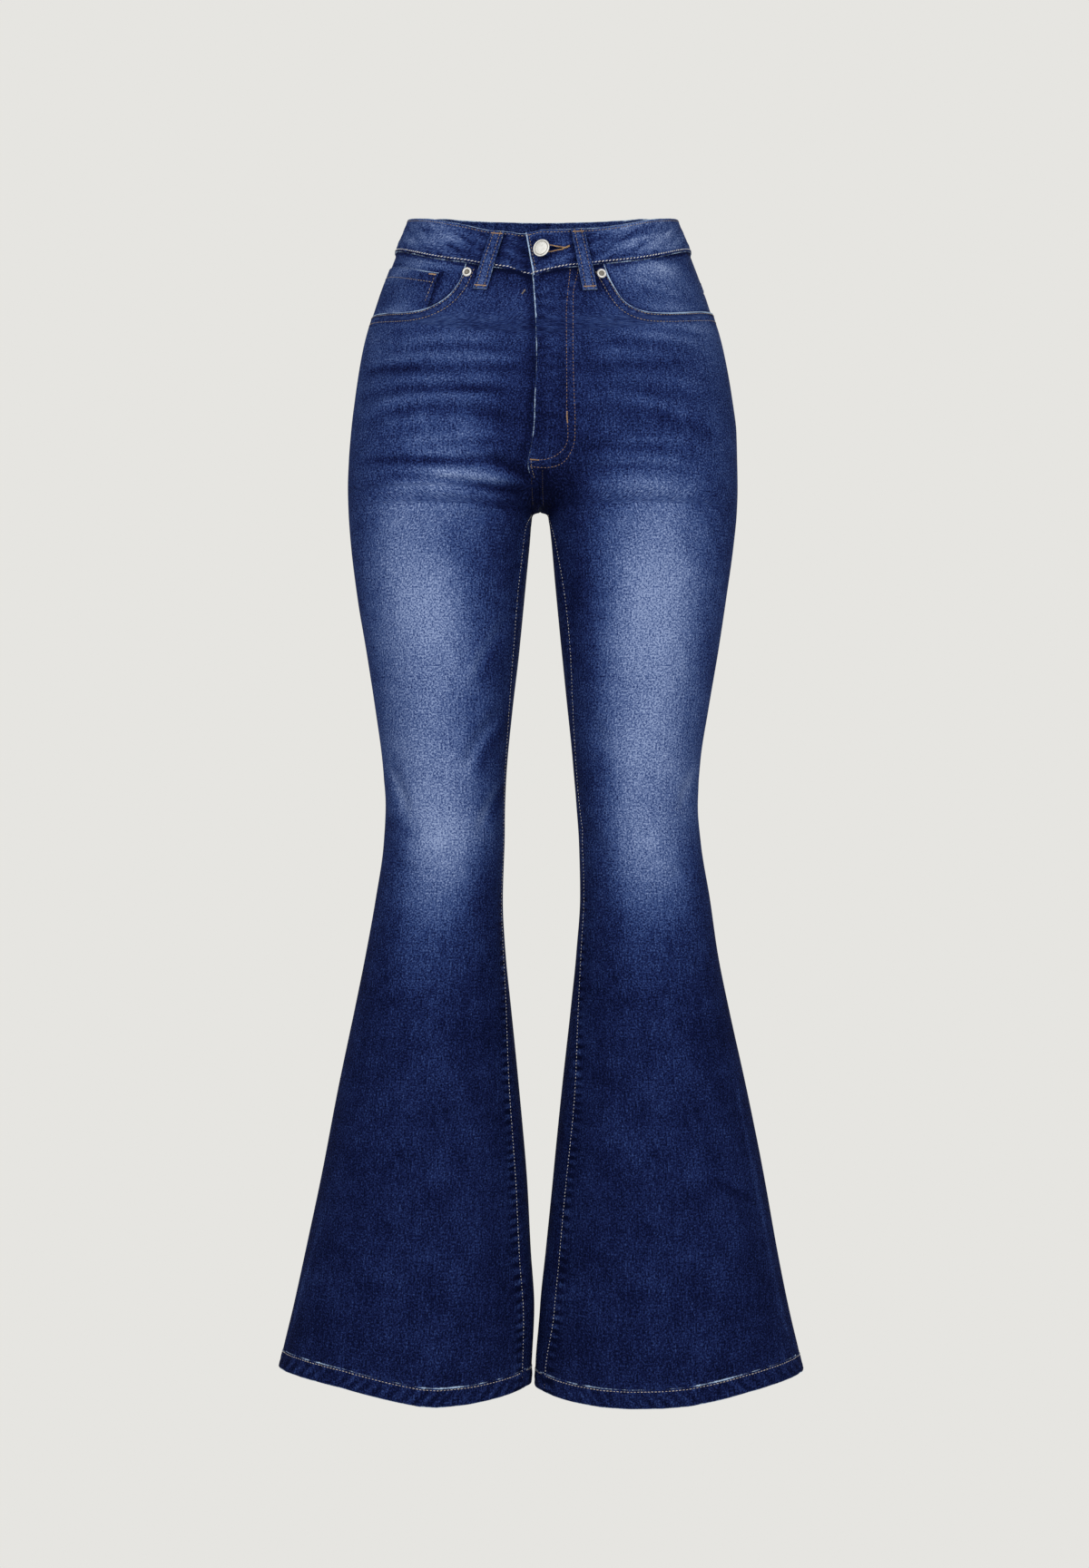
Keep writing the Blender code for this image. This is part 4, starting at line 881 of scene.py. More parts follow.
def sew(piece, places, thread="tan", side=None, lift=0.0, pull=0.0, pitch=11.0, straight=False, kind="row"):
    """Notes a sewn row. `pull` is how deep it draws the cloth in, and `pitch` how far apart its puckers are."""
    side = side or side_of(piece)
    w, q = row_places(side, places, straight)
    ROWS.append({
        "piece": piece, "side": side, "w": w, "q": q, "base": skin(side, w, q, 0.0), "thread": thread,
        "lift": lift, "pull": pull, "pitch": pitch, "seed": 1.0 + 0.77 * len(ROWS), "kind": kind,
    })


# Lines that darken the cloth beside the seams, loops, pockets and fly: mostly painted shadow, and along the
# inseams the dye kept beside them. Each is the piece, the line, its half width and amount.
SHADE_AND_DYE_LINES = []


def darker(piece, places, wide, amount, side=None):
    """Notes a dark line: painted shade, and along the inseams dye kept beside them."""
    side = side or side_of(piece)
    w, q = row_places(side, places)
    SHADE_AND_DYE_LINES.append((piece, skin(side, w, q, 0.0), wide, amount))


def shade_and_dye_darkening(piece, base):
    """How much the painted shade, with the dye kept along the inseams, darkens a piece beside its seams."""
    total = np.zeros(base.shape[:-1])
    for name, line, wide, amount in SHADE_AND_DYE_LINES:
        if name == piece:
            away, _ = near(base, line)
            total += amount * bell(away, wide)
    return total


# How far beside a row its puckers reach, and how wide the row's own groove is.
PUCKER_WIDE = 5.5
GROOVE_WIDE = 1.6


def pulled(piece, base):
    """How far the rows of a piece draw the cloth in at the given places, and how pale its puckers are."""
    depth = np.zeros(base.shape[:-1])
    pale = np.zeros(base.shape[:-1])
    for row in ROWS:
        if row["piece"] != piece or row["pull"] == 0:
            continue
        away, along = near(base, row["base"])
        wave = ripple(along, row["pitch"], row["seed"])
        soft = bell(away, PUCKER_WIDE)
        depth += row["pull"] * (bell(away, GROOVE_WIDE) * 0.5 + soft * (0.5 - 0.5 * wave))
        pale += soft * wave * min(1.6, 4.0 * row["pull"])
    return depth, pale


# The cloth pieces by name, and the distance from a worn edge that stands for no wear.
LAYERS = {}
UNWORN = 20.0
# How far the edges are rounded off: a fold's outer and inner side, a seam and the waistband.
FOLD_ROUND = 0.75
FOLD_ROUND_IN = 0.6
SEAM_ROUND = 0.95
BAND_ROUND = 0.9
# How the edges of a patch with all four sides turned in end.
ALL_FOLDED = (("left", "fold"), ("right", "fold"), ("top", "fold"), ("bottom", "fold"))


def cloth_piece(name, side, w, q, out, thick, half, edges=(), worn=(), fade_and_shade=0.0, lift=0.0, rubbed=0.0):
    """A panel's fine shell from its grid of places. `edges` names how its left, right, top and bottom
    edges end, and `worn` is the lines whose edges are rubbed pale, each with how weak the rubbing is."""
    base = skin(side, w, q, 0.0)
    across = lengths(base, 1)
    down = lengths(base, 0)
    away = {"left": across, "right": across[:, -1:] - across, "top": down, "bottom": down[-1:] - down}
    outer_out = np.array(out, float) + np.zeros(w.shape)
    inner_out = outer_out - thick
    for edge, style in edges:
        if style == "fold":
            outer_out = outer_out - roll(away[edge], FOLD_ROUND)
            inner_out = inner_out + roll(away[edge], FOLD_ROUND_IN)
        else:
            outer_out = outer_out - roll(away[edge], SEAM_ROUND)
    depth, pale = pulled(name, base)
    outer = skin(side, w, q, outer_out + lift - depth)
    inner = skin(side, w, q, inner_out - 0.8 * depth)
    obj = shell(name, outer, inner, side == "left")
    place = across - 0.5 * across[:, -1:]
    give_uv(obj, place if side == "left" else -place, q)
    # The dye's paleness, less the painted shade beside the seams, loops and pockets.
    give(obj, "fade_and_shade", fade_at(base, half) + fade_and_shade - shade_and_dye_darkening(name, base))
    give(obj, "pucker", pale + rubbed)
    wear = np.full(w.shape, UNWORN)
    for line, weak in worn:
        distance = away[line] if isinstance(line, str) else near(base, line)[0]
        wear = np.minimum(wear, distance + weak)
    give(obj, "edge", wear)
    LAYERS[name] = obj


# ---- Panels ------------------------------------------------------------------------------------

# About how long each panel's rows and columns are in millimetres, and how far apart its points lie.
FRONT_ACROSS = (205.0, 2.15)
BACK_ACROSS = (225.0, 2.6)
YOKE_ACROSS = (170.0, 2.4)
YOKE_DOWN = (48.0, 2.4)
FACING_ACROSS = (150.0, 2.3)
COIN_ACROSS = (100.0, 2.2)
COIN_DOWN = (40.0, 2.0)
POCKET_ACROSS = (136.0, 2.3)
POCKET_DOWN = (108.0, 2.3)
# Rows where the fronts and backs run level from side to side, below the pockets and the hips.
LEVEL_ROWS = (-211.0, -240.0, -400.0, HEM)
# The sewn row beside the inner seam on each front, as (q, w).
INSEAM_ROWS = {
    "right": (
        (-277, 0.022), (-290, 0.048), (-310, 0.046), (-351, 0.036), (-470, 0.024), (-588, 0.012),
        (-671, 0.014), (-780, 0.0425), (-862, 0.044), (-941, 0.039), (-1036, 0.026), (-1062, 0.023),
    ),
    "left": (
        (-277, 0.016), (-297, 0.024), (-339, 0.044), (-386, 0.056), (-457, 0.05), (-525, 0.046),
        (-562, 0.066), (-670, 0.052), (-806, 0.065), (-914, 0.048), (-989, 0.046), (-1042, 0.02),
        (-1062, 0.016),
    ),
}


def fly_at(q):
    """How far past the centre the fly edge lies, along q."""
    return np.where(q > CROTCH, curve(FLY_EDGE, np.maximum(q, CROTCH)), 0.0)


# The twists of the hem: how many millimetres one w counts for, how far they slant, how far apart they are,
# and how high they lie above the edge.
ROPE_LONG = 330.0
ROPE_SLANT = 1.1
ROPE_PITCH = 15.0
ROPE_HIGH = 7.0
ROPE_TALL = 6.0
ROPE_SEED = {"left": 2.3, "right": 4.1}


def hem_rope(w, q, side):
    """The slanting twists of the turned-up hem, between its stitches and its edge."""
    up = q - HEM
    rope = ripple(w * ROPE_LONG + up * ROPE_SLANT, ROPE_PITCH, ROPE_SEED[side])
    return rope * bell(up - ROPE_HIGH, ROPE_TALL)


def hem_lift(w, q, side):
    """The fullness of the turned-up hem, with its twists."""
    up = q - HEM
    return 0.35 * ease((HEM_DEEP + 1.0 - up) / 2.0) * ease(up / 1.2) + 0.5 * hem_rope(w, q, side)


def hem_top(side, q_rows, start):
    """The line along the hem's upper edge, on the row of the grid that lies nearest to it."""
    row = q_rows[np.argmin(abs(q_rows - (HEM + HEM_DEEP + 0.7)))]
    return skin(side, np.linspace(start, start + 1.0, 300), float(row), 0.0)


def step_in(w, q):
    """How far the right front is stepped in, where the left one laps over it."""
    step = 1 - ease((w - fly_at(q) - 0.004) / 0.045)
    return -LAP_STEP * step * ease((q + 268.0) / 8.0)


def inseam_row(side, q):
    """Where the row along the inner leg runs, as w."""
    rows = INSEAM_ROWS[side]
    return curve(rows, np.clip(q, rows[-1][0], rows[0][0]))


# The top rows of the fronts follow the waistband's seam down to here.
FINE_END = -50.0
# The dark bites beside the inner seam: how far apart they are, and where they lie from the sewn row.
BITE_PITCH = 8.5
BITE_SEED = {"left": 1.3, "right": 2.9}
BITE_AWAY = 3.4
BITE_WIDE = 4.4


def leg_front(side):
    rows = [*SCOOP[side], *((q, 1.0, end) for q, end in HIP_ROWS_FRONT), *((q, 1.0, q) for q in LEVEL_ROWS)]
    upper = steps_between(FRONT_TOP, FINE_END, 2.2, True, False)
    q_start = np.concatenate([upper, steps_between(FINE_END, HEM, 2.4, False, True)[1:]])
    w_end, q_end = (curve(rows, q_start, column) for column in (1, 2))
    fly = fly_at(q_start)
    start = -fly if side == "left" else fly - FLY_LAP * (q_start > LAP_END)
    t = spread(*FRONT_ACROSS)[None, :]
    w = start[:, None] + (w_end - start)[:, None] * t
    q = q_start[:, None] + (q_end - q_start)[:, None] * t
    top = ease((q_start - FINE_END) / 15.7)[:, None] ** 0.8
    q = q + (between(SEAM[side], w) + UNDER_BAND - FRONT_TOP) * top
    out = step_in(w, q_start[:, None]) if side == "right" else 0.0
    inner_edge = skin(side, w[:, 0], q[:, 0], 0.0)
    open_edge = w[:, -1] < 0.999
    scoop_edge = skin(side, *row_places(side, list(zip(w[open_edge, -1], q[open_edge, -1])), True), 0.0)
    worn = [(scoop_edge, -0.16), ("bottom", 0.4), (hem_top(side, q_start, 0.0), 0.35)]
    if side == "left":
        worn += [(inner_edge[q_start > -90.0], 0.15), (inner_edge[q_start > -249.0], 0.6)]
    # The front laps over the back along the inner leg.
    leg = ease((CROTCH + 4.0 - q_start) / 10.0)[:, None]
    row = inseam_row(side, q)
    # Dark bites where the sewn row draws the cloth in.
    bite = np.clip(ripple(q, BITE_PITCH, BITE_SEED[side]), -0.35, 1.0)
    beside = (w - row) * length_of(side, -700.0, 0.0, 1.0)
    bite = (0.05 + 0.40 * ease((-590.0 - q) / 130.0)) * leg * bite * bell(beside - BITE_AWAY, BITE_WIDE)
    lift = hem_lift(w, q, side) + 0.45 * leg * ease((row + 0.022 - w) / 0.012)
    cloth_piece("front_" + side, side, w, q, out, CLOTH, "front",
                (("left", "fold"), ("right", "seam"), ("bottom", "fold")), worn,
                fade_and_shade=-bite, lift=lift, rubbed=1.4 * hem_rope(w, q, side))


def leg_back(side):
    q_start = steps_between(BACK_TOP, HEM, 2.7)
    q_end = curve([*HIP_ROWS_BACK, *((q, q) for q in LEVEL_ROWS)], q_start)
    t = spread(*BACK_ACROSS)[None, :]
    w = np.ones((len(q_start), 1)) + t
    q = q_start[:, None] + (q_end - q_start)[:, None] * t
    # The top runs up under the yoke, and the inner edge runs under the front's lap.
    q = q + 1.5 * ease((q_start + 72.0) / 4.7)[:, None]
    out = -1.3 * ease((q_start + 70.0) / 2.0)[:, None] * np.ones(w.shape)
    cloth_piece("back_" + side, side, w, q, out, CLOTH, "back",
                (("left", "seam"), ("right", "seam"), ("bottom", "fold")),
                (("bottom", 0.4), (hem_top(side, q_start, 1.0), 0.35)),
                lift=hem_lift(w, q, side), rubbed=1.4 * hem_rope(w, q, side))


def yoke_seam(t):
    """The q of the yoke's lower seam, from the side seam at 0 to the centre back at 1."""
    return YOKE_SEAM_SIDE + (YOKE_SEAM_BACK - YOKE_SEAM_SIDE) * t


def yoke(side):
    down = spread(*YOKE_DOWN)[:, None]
    t = spread(*YOKE_ACROSS)[None, :]
    w = np.repeat(1 + t, len(down), 0)
    low = yoke_seam(t)
    top = BAND_SEAM + UNDER_BAND
    q = top + (low - top) * down
    cloth_piece("yoke_" + side, side, w, q, 0.0, CLOTH, "back",
                (("left", "seam"), ("right", "seam"), ("bottom", "fold")), (("bottom", 0.9),),
                fade_and_shade=0.02, lift=0.35 * ease((low + 11.0 - q) / 3.0))


def pocket_facing(side):
    rows = np.array(FACING[side])
    count = np.arange(len(rows))
    at = spread(float(len(rows) - 1), 0.05, False, False) * (len(rows) - 1)
    w_start, q_start, q_end = (smooth(count, rows[:, k], at)[:, None] for k in range(3))
    t = spread(*FACING_ACROSS)[None, :]
    w = w_start + (1.0 - w_start) * t
    q = q_start + (q_end - q_start) * t
    q = q + 1.4 * ease((q_start + 44.0) / 9.0)
    # The facing comes up to the cloth along the side seam and under the waistband.
    rise = np.maximum(ease((w - 0.955) / 0.045), ease((q + 40.0) / 6.0))
    cloth_piece("pocket_facing_" + side, side, w, q, FACING_OUT + 2.0 * rise, 1.2, "facing", fade_and_shade=0.03)


def coin_pocket():
    t = spread(*COIN_ACROSS)[None, :]
    down = spread(*COIN_DOWN)[:, None]
    w = (0.455 + 0.528 * t) * (1 - down) + (0.478 + 0.505 * t) * down
    low = curve([(w_edge, q_edge) for _, w_edge, q_edge in SCOOP["right"]], w) - 5.0
    top = -46.0 - 3.0 * t
    q = top + (low - top) * down
    cloth_piece("coin_pocket", "right", w, q, COIN_OUT + 0.15, 1.3, "facing",
                (("left", "fold"), ("top", "fold")), (("top", 0.85), ("left", 1.7)), fade_and_shade=-0.02)


def pocket_form(across, down):
    """The back pocket's q and half width at places from -1 to 1 across it and from 0 to 1 down it."""
    low = POCKET_SIDE + (POCKET_TIP - POCKET_SIDE) * (1 - abs(across))
    q = POCKET_TOP + (low - POCKET_TOP) * down
    return q, POCKET_WIDE_TOP + (POCKET_WIDE_LOW - POCKET_WIDE_TOP) * down


def back_pocket(side):
    across = spread(*POCKET_ACROSS)[None, :] * 2 - 1
    down = spread(*POCKET_DOWN)[:, None]
    q, wide = pocket_form(across, down)
    seat = [(at, length_of(side, at, 1.0, 2.0)) for at in range(-240, -90, 10)]
    w = POCKET_W + across * wide / between(seat, q)
    cloth_piece("back_pocket_" + side, side, w, q, 1.95, 1.4, "back", ALL_FOLDED,
                (("left", 0.4), ("right", 0.4), ("top", 0.2), ("bottom", 0.4)), fade_and_shade=0.05)


# The buttonhole: where it starts and ends, its half width as (w, millimetres), and its q.
SLOT_START = 0.008
SLOT_END = 0.092
SLOT = ((0.008, 2.4), (0.036, 2.3), (0.0628, 1.1), (0.085, 0.45), (0.092, 0.3))
SLOT_Q = -17.9
# The over-end's edge at the top, how far it has moved at SLANT_Q, and where the slant dies away.
OVER_END = -0.077
OVER_SLANT = 0.04
SLANT_Q = -42.5
SLANT_STOP = 0.006
# Where the rows of the waistband's grid lie between its edge, the buttonhole and its seam.
BAND_UPPER = (0.15, 0.3, 0.45, 0.6, 0.76, 0.9, 1.0)
BAND_LOWER = (0.0, 0.16, 0.32, 0.48, 0.64, 0.78, 0.88, 0.945, 0.975, 1.0)
SLOT_ROW = 11
# Where the first columns lie from the over-end's edge, and the last ones from where the under-end begins.
OVER_COLUMNS = (0.0, 0.0018, 0.0045, 0.008, 0.013)
UNDER_COLUMNS = (0.0, 0.008, 0.013, 0.016, 0.018)
# Where the evenly spaced columns begin past the over-end and end before the under-end.
OVER_EVEN = -0.052
UNDER_EVEN = -0.07
UNDER_START = -0.09
# The middle of the band, and how far up and down from it the puckers of its two layers reach.
BAND_MIDDLE = -20.0
SWELL_TALL = 15.0


def band_rows(seam, half):
    """The q of each row of the waistband for each seam depth, with the buttonhole's two rows."""
    low = SLOT_Q - half
    edge = -np.array(NEAR_EDGE)[:, None] + 0 * seam
    start = -NEAR_EDGE[-1]
    upper = start + (SLOT_Q + half - start) * np.array(BAND_UPPER)[:, None]
    lower = low + (seam - low) * np.array(BAND_LOWER)[:, None]
    return np.concatenate([edge, upper, lower])


def end_of_band(q):
    """Where the over-end's slanted edge lies, past the centre on the left's own w."""
    return OVER_END + OVER_SLANT * q / SLANT_Q


def under_step(w):
    """How far the right half of the band steps in towards its under-end."""
    return UNDER_STEP * ease((0.15 - w) / 0.04)


def waistband():
    """One strip from the over-end at the fly, round the left side and the back, to the under-end."""
    over = np.concatenate([
        OVER_END + np.array(OVER_COLUMNS), np.linspace(OVER_EVEN, SLOT_START, 6),
        np.linspace(SLOT_START, SLOT_END, 10)[1:], np.linspace(SLOT_END, 2.0, 152)[1:],
    ])
    under = np.concatenate([np.linspace(2.0, UNDER_EVEN, 168)[1:], UNDER_START - np.array(UNDER_COLUMNS)])
    grids = []
    for side, w in (("left", over), ("right", under)):
        half = np.full(len(w), SLOT[0][1])
        if side == "left":
            slot = between(SLOT, w)
            half = slot + (half - slot) * ease((w - SLOT_END) / 0.2)
        rows = band_rows(between(SEAM[side], w), half)
        wide = np.tile(w, (len(rows), 1))
        step = np.zeros(wide.shape)
        if side == "left":
            slant = np.clip((SLANT_STOP - wide) / (SLANT_STOP - OVER_END), 0, 1)
            wide = wide + OVER_SLANT * rows / SLANT_Q * slant
        else:
            step = -under_step(wide)
        grids.append((side, wide, rows, step))
    base = np.concatenate([skin(side, w, q, 0.0) for side, w, q, _ in grids], 1)
    across = lengths(base, 1)
    q = np.concatenate([rows for _, _, rows, _ in grids], 1)
    ends = {"left": across, "right": across[:, -1:] - across, "top": -q, "bottom": q - q[-1:]}
    rounding = sum(roll(distance, BAND_ROUND) for distance in ends.values())
    depth, pale = pulled("waistband", base)
    # Slanting puckers of the two layers, drawn between the rows along its edges.
    round_by = abs(across[8:9] - 0.5 * across[8:9, -1:])
    slant = q + 0.34 * round_by
    swell = 0.42 * ripple(slant, 13.0, 0.6) + 0.24 * ripple(slant + 0.12 * round_by, 6.5, 2.2)
    swell = swell * (0.65 + 0.35 * ripple(round_by - q, 41.0, 1.1)) * bell(q - BAND_MIDDLE, SWELL_TALL)
    outer, inner, at = [], [], 0
    for side, wide, rows, step in grids:
        part = slice(at, at + wide.shape[1])
        at += wide.shape[1]
        out = BAND_OUT + step - rounding[:, part] - depth[:, part] + swell[:, part]
        low = BAND_IN + step + 0.8 * rounding[:, part] + 0.5 * swell[:, part]
        outer.append(skin(side, wide, rows, out))
        inner.append(skin(side, wide, rows, low))
    first, last = (int(np.argmin(abs(over - end))) for end in (SLOT_START, SLOT_END))
    obj = shell("waistband", np.concatenate(outer, 1), np.concatenate(inner, 1), True,
                [(SLOT_ROW, SLOT_ROW + 1, first, last)])
    give_uv(obj, q, across)
    shade = np.where(base[..., 1] < 0, fade_at(base, "band"), fade_at(base, "back"))
    # The dye's paleness, less the painted shade along the seams, beside the loops and the over-end and round
    # the button.
    give(obj, "fade_and_shade", shade - 0.03 - shade_and_dye_darkening("waistband", base))
    give(obj, "pucker", pale + 4.2 * swell)
    wear = np.minimum(ends["top"] + 0.32, ends["bottom"] + 0.75)
    give(obj, "edge", np.minimum(wear, ends["left"] - 0.25))
    LAYERS["waistband"] = obj


# The belt loops' columns, from edge to edge, and where their two sewn rows are.
LOOP_ACROSS = np.array((-1.0, -0.96, -0.9, -0.8, -0.5, -0.3, 0.0, 0.3, 0.5, 0.8, 0.9, 0.96, 1.0))
LOOP_ROW = 0.5
# About how long w is on the front and on the back at the waist, in millimetres.
FRONT_WIDE = 195.0
BACK_WIDE = 185.0


def loop_rows():
    """The belt loop's way: (q, lift) every 2 mm or so."""
    run = lengths(np.array(LOOP_PATH))
    at = steps_between(0.0, run[-1], 2.0)
    return [smooth(run, values, at) for values in zip(*LOOP_PATH)]


def loop_place(name, q):
    """A belt loop's side, and its middle and half width as w, at q."""
    side, w_top, w_low = LOOPS[name]
    t = (q - LOOP_PATH[0][0]) / (LOOP_PATH[-1][0] - LOOP_PATH[0][0])
    return side, w_top + (w_low - w_top) * t, 0.5 * LOOP_WIDE / (FRONT_WIDE if w_top < 1 else BACK_WIDE)


def belt_loop(name):
    rows, lift = loop_rows()
    side, middle, half = loop_place(name, rows)
    w = middle[:, None] + half * LOOP_ACROSS
    q = np.repeat(rows[:, None], len(LOOP_ACROSS), 1)
    # Two sewn rows sink into the strip, and it is a little fuller between them.
    beside_row = abs(LOOP_ACROSS) - LOOP_ROW
    crown = 0.22 * (1 - LOOP_ACROSS ** 2) - 0.2 * bell(beside_row, 0.12)
    wave = ripple(rows, 9.0, 1.0 + 7 * len(name))[:, None] * (1 - LOOP_ACROSS ** 2)
    rubbed = 0.9 * bell(LOOP_ACROSS, 0.3) - 1.1 * bell(beside_row, 0.13)
    cloth_piece(name, side, w, q, lift[:, None] + LOOP_CLOTH + crown + 0.14 * wave, LOOP_CLOTH,
                "band" if w.max() < 1 else "back", ALL_FOLDED,
                (("left", 1.0), ("right", 1.0), ("top", 0.5), ("bottom", 0.5)),
                fade_and_shade=0.08, rubbed=rubbed + 0.5 * wave)


# ---- Stitches ----------------------------------------------------------------------------------

def set_inputs(tree, node, inputs):
    """Joins a node's inputs to other nodes' outputs, or gives them their own values."""
    for key, value in dict(inputs).items():
        if isinstance(value, bpy.types.NodeSocket):
            tree.links.new(value, node.inputs[key])
        else:
            node.inputs[key].default_value = value


def add_node(tree, kind, inputs=(), **settings):
    """A new node with its settings and its inputs."""
    made = tree.nodes.new(kind)
    for key, value in settings.items():
        setattr(made, key, value)
    set_inputs(tree, made, inputs)
    return made


# The kinds of stitches, with their sizes in metres and their turn in radians.
STITCH_INPUTS = ("Spacing", "Length", "Width", "Height", "Turn")
STITCHES = {
    "row": (0.0031, 0.0022, 0.00062, 0.0005, 0.0),
    "short_row": (0.0031, 0.0017, 0.0007, 0.0005, 0.0),
    "bold_row": (0.0033, 0.0026, 0.00095, 0.0006, 0.35),
    "tack": (0.00055, 0.0019, 0.0006, 0.0007, 1.35),
    "thin_tack": (0.0005, 0.0013, 0.00055, 0.0006, 1.3),
}


def stitch_tree():
    """Stitches along sewn lines: each is a small rounded thread laid along the line, or across it
    for a bar tack, with its top towards the line's own `up`."""
    tree = bpy.data.node_groups.new("stitches", "GeometryNodeTree")
    face = tree.interface
    face.new_socket("Geometry", in_out="INPUT", socket_type="NodeSocketGeometry")
    for name in STITCH_INPUTS:
        face.new_socket(name, in_out="INPUT", socket_type="NodeSocketFloat")
    face.new_socket("Thread", in_out="INPUT", socket_type="NodeSocketMaterial")
    face.new_socket("Geometry", in_out="OUTPUT", socket_type="NodeSocketGeometry")

    def node(kind, inputs=(), output=0, **settings):
        return add_node(tree, kind, inputs, **settings).outputs[output]

    def uneven(low, high, seed):
        return node("FunctionNodeRandomValue", {2: low, 3: high, "Seed": seed}, 1)

    start = add_node(tree, "NodeGroupInput").outputs
    curve = node("GeometryNodeMeshToCurve", {0: start["Geometry"]})
    spaced = node("GeometryNodeResampleCurve", {"Curve": curve, "Length": start["Spacing"]}, mode="LENGTH")
    ball = node("GeometryNodeMeshUVSphere", {"Segments": 6, "Rings": 4, "Radius": 0.5})
    size = node("ShaderNodeCombineXYZ", {"X": start["Length"], "Y": start["Width"], "Z": start["Height"]})
    laid = node("GeometryNodeTransform", {"Geometry": ball, "Rotation": (0.0, math.pi / 2, 0.0)})
    shaped = node("GeometryNodeTransform", {"Geometry": laid, "Scale": size})
    up = node("GeometryNodeInputNamedAttribute", {"Name": "up"}, data_type="FLOAT_VECTOR")
    tangent = node("GeometryNodeInputTangent")
    along = node("FunctionNodeAlignRotationToVector", {"Vector": tangent}, axis="X")
    upright = node("FunctionNodeAlignRotationToVector", {"Rotation": along, "Vector": up},
                   axis="Z", pivot_axis="X")
    turn = node("ShaderNodeMath", {0: start["Turn"], 1: uneven(-0.09, 0.09, 7)}, operation="ADD")
    about = node("FunctionNodeAxisAngleToRotation", {"Axis": (0.0, 0.0, 1.0), "Angle": turn})
    both = node("FunctionNodeRotateRotation", {"Rotation": upright, "Rotate By": about},
                rotation_space="LOCAL")
    placed = node("GeometryNodeInstanceOnPoints", {
        "Points": spaced, "Instance": shaped, "Rotation": both, "Scale": uneven(0.86, 1.1, 3),
    })
    real = node("GeometryNodeRealizeInstances", {0: placed})
    soft = node("GeometryNodeSetShadeSmooth", {0: real})
    finish = node("GeometryNodeSetMaterial", {"Geometry": soft, "Material": start["Thread"]})
    add_node(tree, "NodeGroupOutput", {0: finish})
    return tree


STITCH_TREE = stitch_tree()


def stitched(name, lines, kind, thread):
    """One mesh of stitches along the given lines, each a pair of points and of their ups."""
    points = []
    ups = []
    edges = []
    for line, up in lines:
        edges += [(len(points) + i, len(points) + i + 1) for i in range(len(line) - 1)]
        points += [tuple(p * MM) for p in line]
        ups += [tuple(u) for u in up]
    mesh = bpy.data.meshes.new(name + "_lines")
    mesh.from_pydata(points, edges, [])
    attribute = mesh.attributes.new("up", "FLOAT_VECTOR", "POINT")
    attribute.data.foreach_set("vector", np.array(ups, np.float32).ravel())
    guide = add_object(name + "_lines", mesh)
    modifier = guide.modifiers.new("stitches", "NODES")
    modifier.node_group = STITCH_TREE
    sockets = {s.name: s.identifier for s in STITCH_TREE.interface.items_tree if s.in_out == "INPUT"}
    for key, value in zip((*STITCH_INPUTS, "Thread"), (*STITCHES[kind], thread)):
        modifier[sockets[key]] = value
    made = bpy.data.meshes.new_from_object(guide.evaluated_get(bpy.context.evaluated_depsgraph_get()))
    made.name = name
    guide.modifiers.clear()
    bpy.data.objects.remove(guide)
    if not made.materials:
        made.materials.append(thread)
    return add_object(name, made)


# How far the middle of a thread is off the cloth.
THREAD_OUT = 0.12


def row_line(row):
    """The points and ups of a sewn row on the finished cloth of its piece."""
    out = row["lift"] - pulled(row["piece"], row["base"])[0] + THREAD_OUT
    places = skin(row["side"], row["w"], row["q"], out)
    return places, skin(row["side"], row["w"], row["q"], out + 1.0) - places


def finish_rows(threads):
    """Every noted row as stitches, one mesh for each piece, thread and kind."""
    groups = {}
    for row in ROWS:
        if row["thread"]:
            groups.setdefault((row["piece"], row["thread"], row["kind"]), []).append(row_line(row))
    made = {}
    for (piece, thread, kind), lines in groups.items():
        name = "%s_%s_%ss" % (piece, thread, kind)
        made.setdefault(piece, []).append(stitched(name, lines, kind, threads[thread]))
    return made


def scoop_row(side, away):
    """A row along the scoop pocket's edge, some way below it."""
    edge = [(w, q) for _, w, q in SCOOP[side]]
    edge[0] = (edge[0][0], -38.5)
    row = [(w, q) for w, q in shifted(side, edge, -away if side == "left" else away) if w < 0.992]
    return row[::12] + row[-1:]


# How far the double rows lie from their edges, in millimetres but for the lap's, which are in w.
SCOOP_ROWS = (1.9, 8.6)
YOKE_ROWS = (2.0, 8.0)
SEAT_ROWS = (2.2, 8.2)
POCKET_ROWS = (2.0, 7.5)
POCKET_HEM_ROWS = (2.5, 14.0)
LAP_ROWS = (0.022, 0.062)
# The fly's double J, its tacks and the rows down to the crotch, and a short tack on the right front.
FLY_J = (
    (
        (0.1175, -38.0), (0.1025, -62.7), (0.0955, -84.8), (0.0943, -146.8), (0.0943, -200.4),
        (0.0870, -213.8), (0.0693, -223.7), (0.0460, -229.8), (0.0202, -234.5), (0.0020, -236.1),
        (-0.0172, -235.4),
    ),
    (
        (0.1520, -38.0), (0.1250, -62.9), (0.1185, -139.2), (0.1212, -180.1), (0.1242, -197.2),
        (0.1120, -213.7), (0.0953, -223.4), (0.0735, -231.1), (0.0507, -237.5), (0.0257, -241.3),
        (0.0080, -242.4), (-0.0150, -241.6),
    ),
)
FLY_TACKS = (((0.0953, -194.8), (0.0938, -204.3)), ((-0.0185, -235.8), (-0.002, -236.3)))
FLY_LOW = ((-0.0160, -237.6), (-0.0135, -243.0), (-0.0095, -249.5))
CROTCH_LEFT = ((0.0040, -245.0), (0.0040, -257.0), (0.0050, -270.0))
CROTCH_RIGHT = ((0.0142, -252.0), (0.0132, -259.4), (0.0117, -269.4))
LOOSE_TACK = ((0.070, -57.5), (0.082, -62.0))
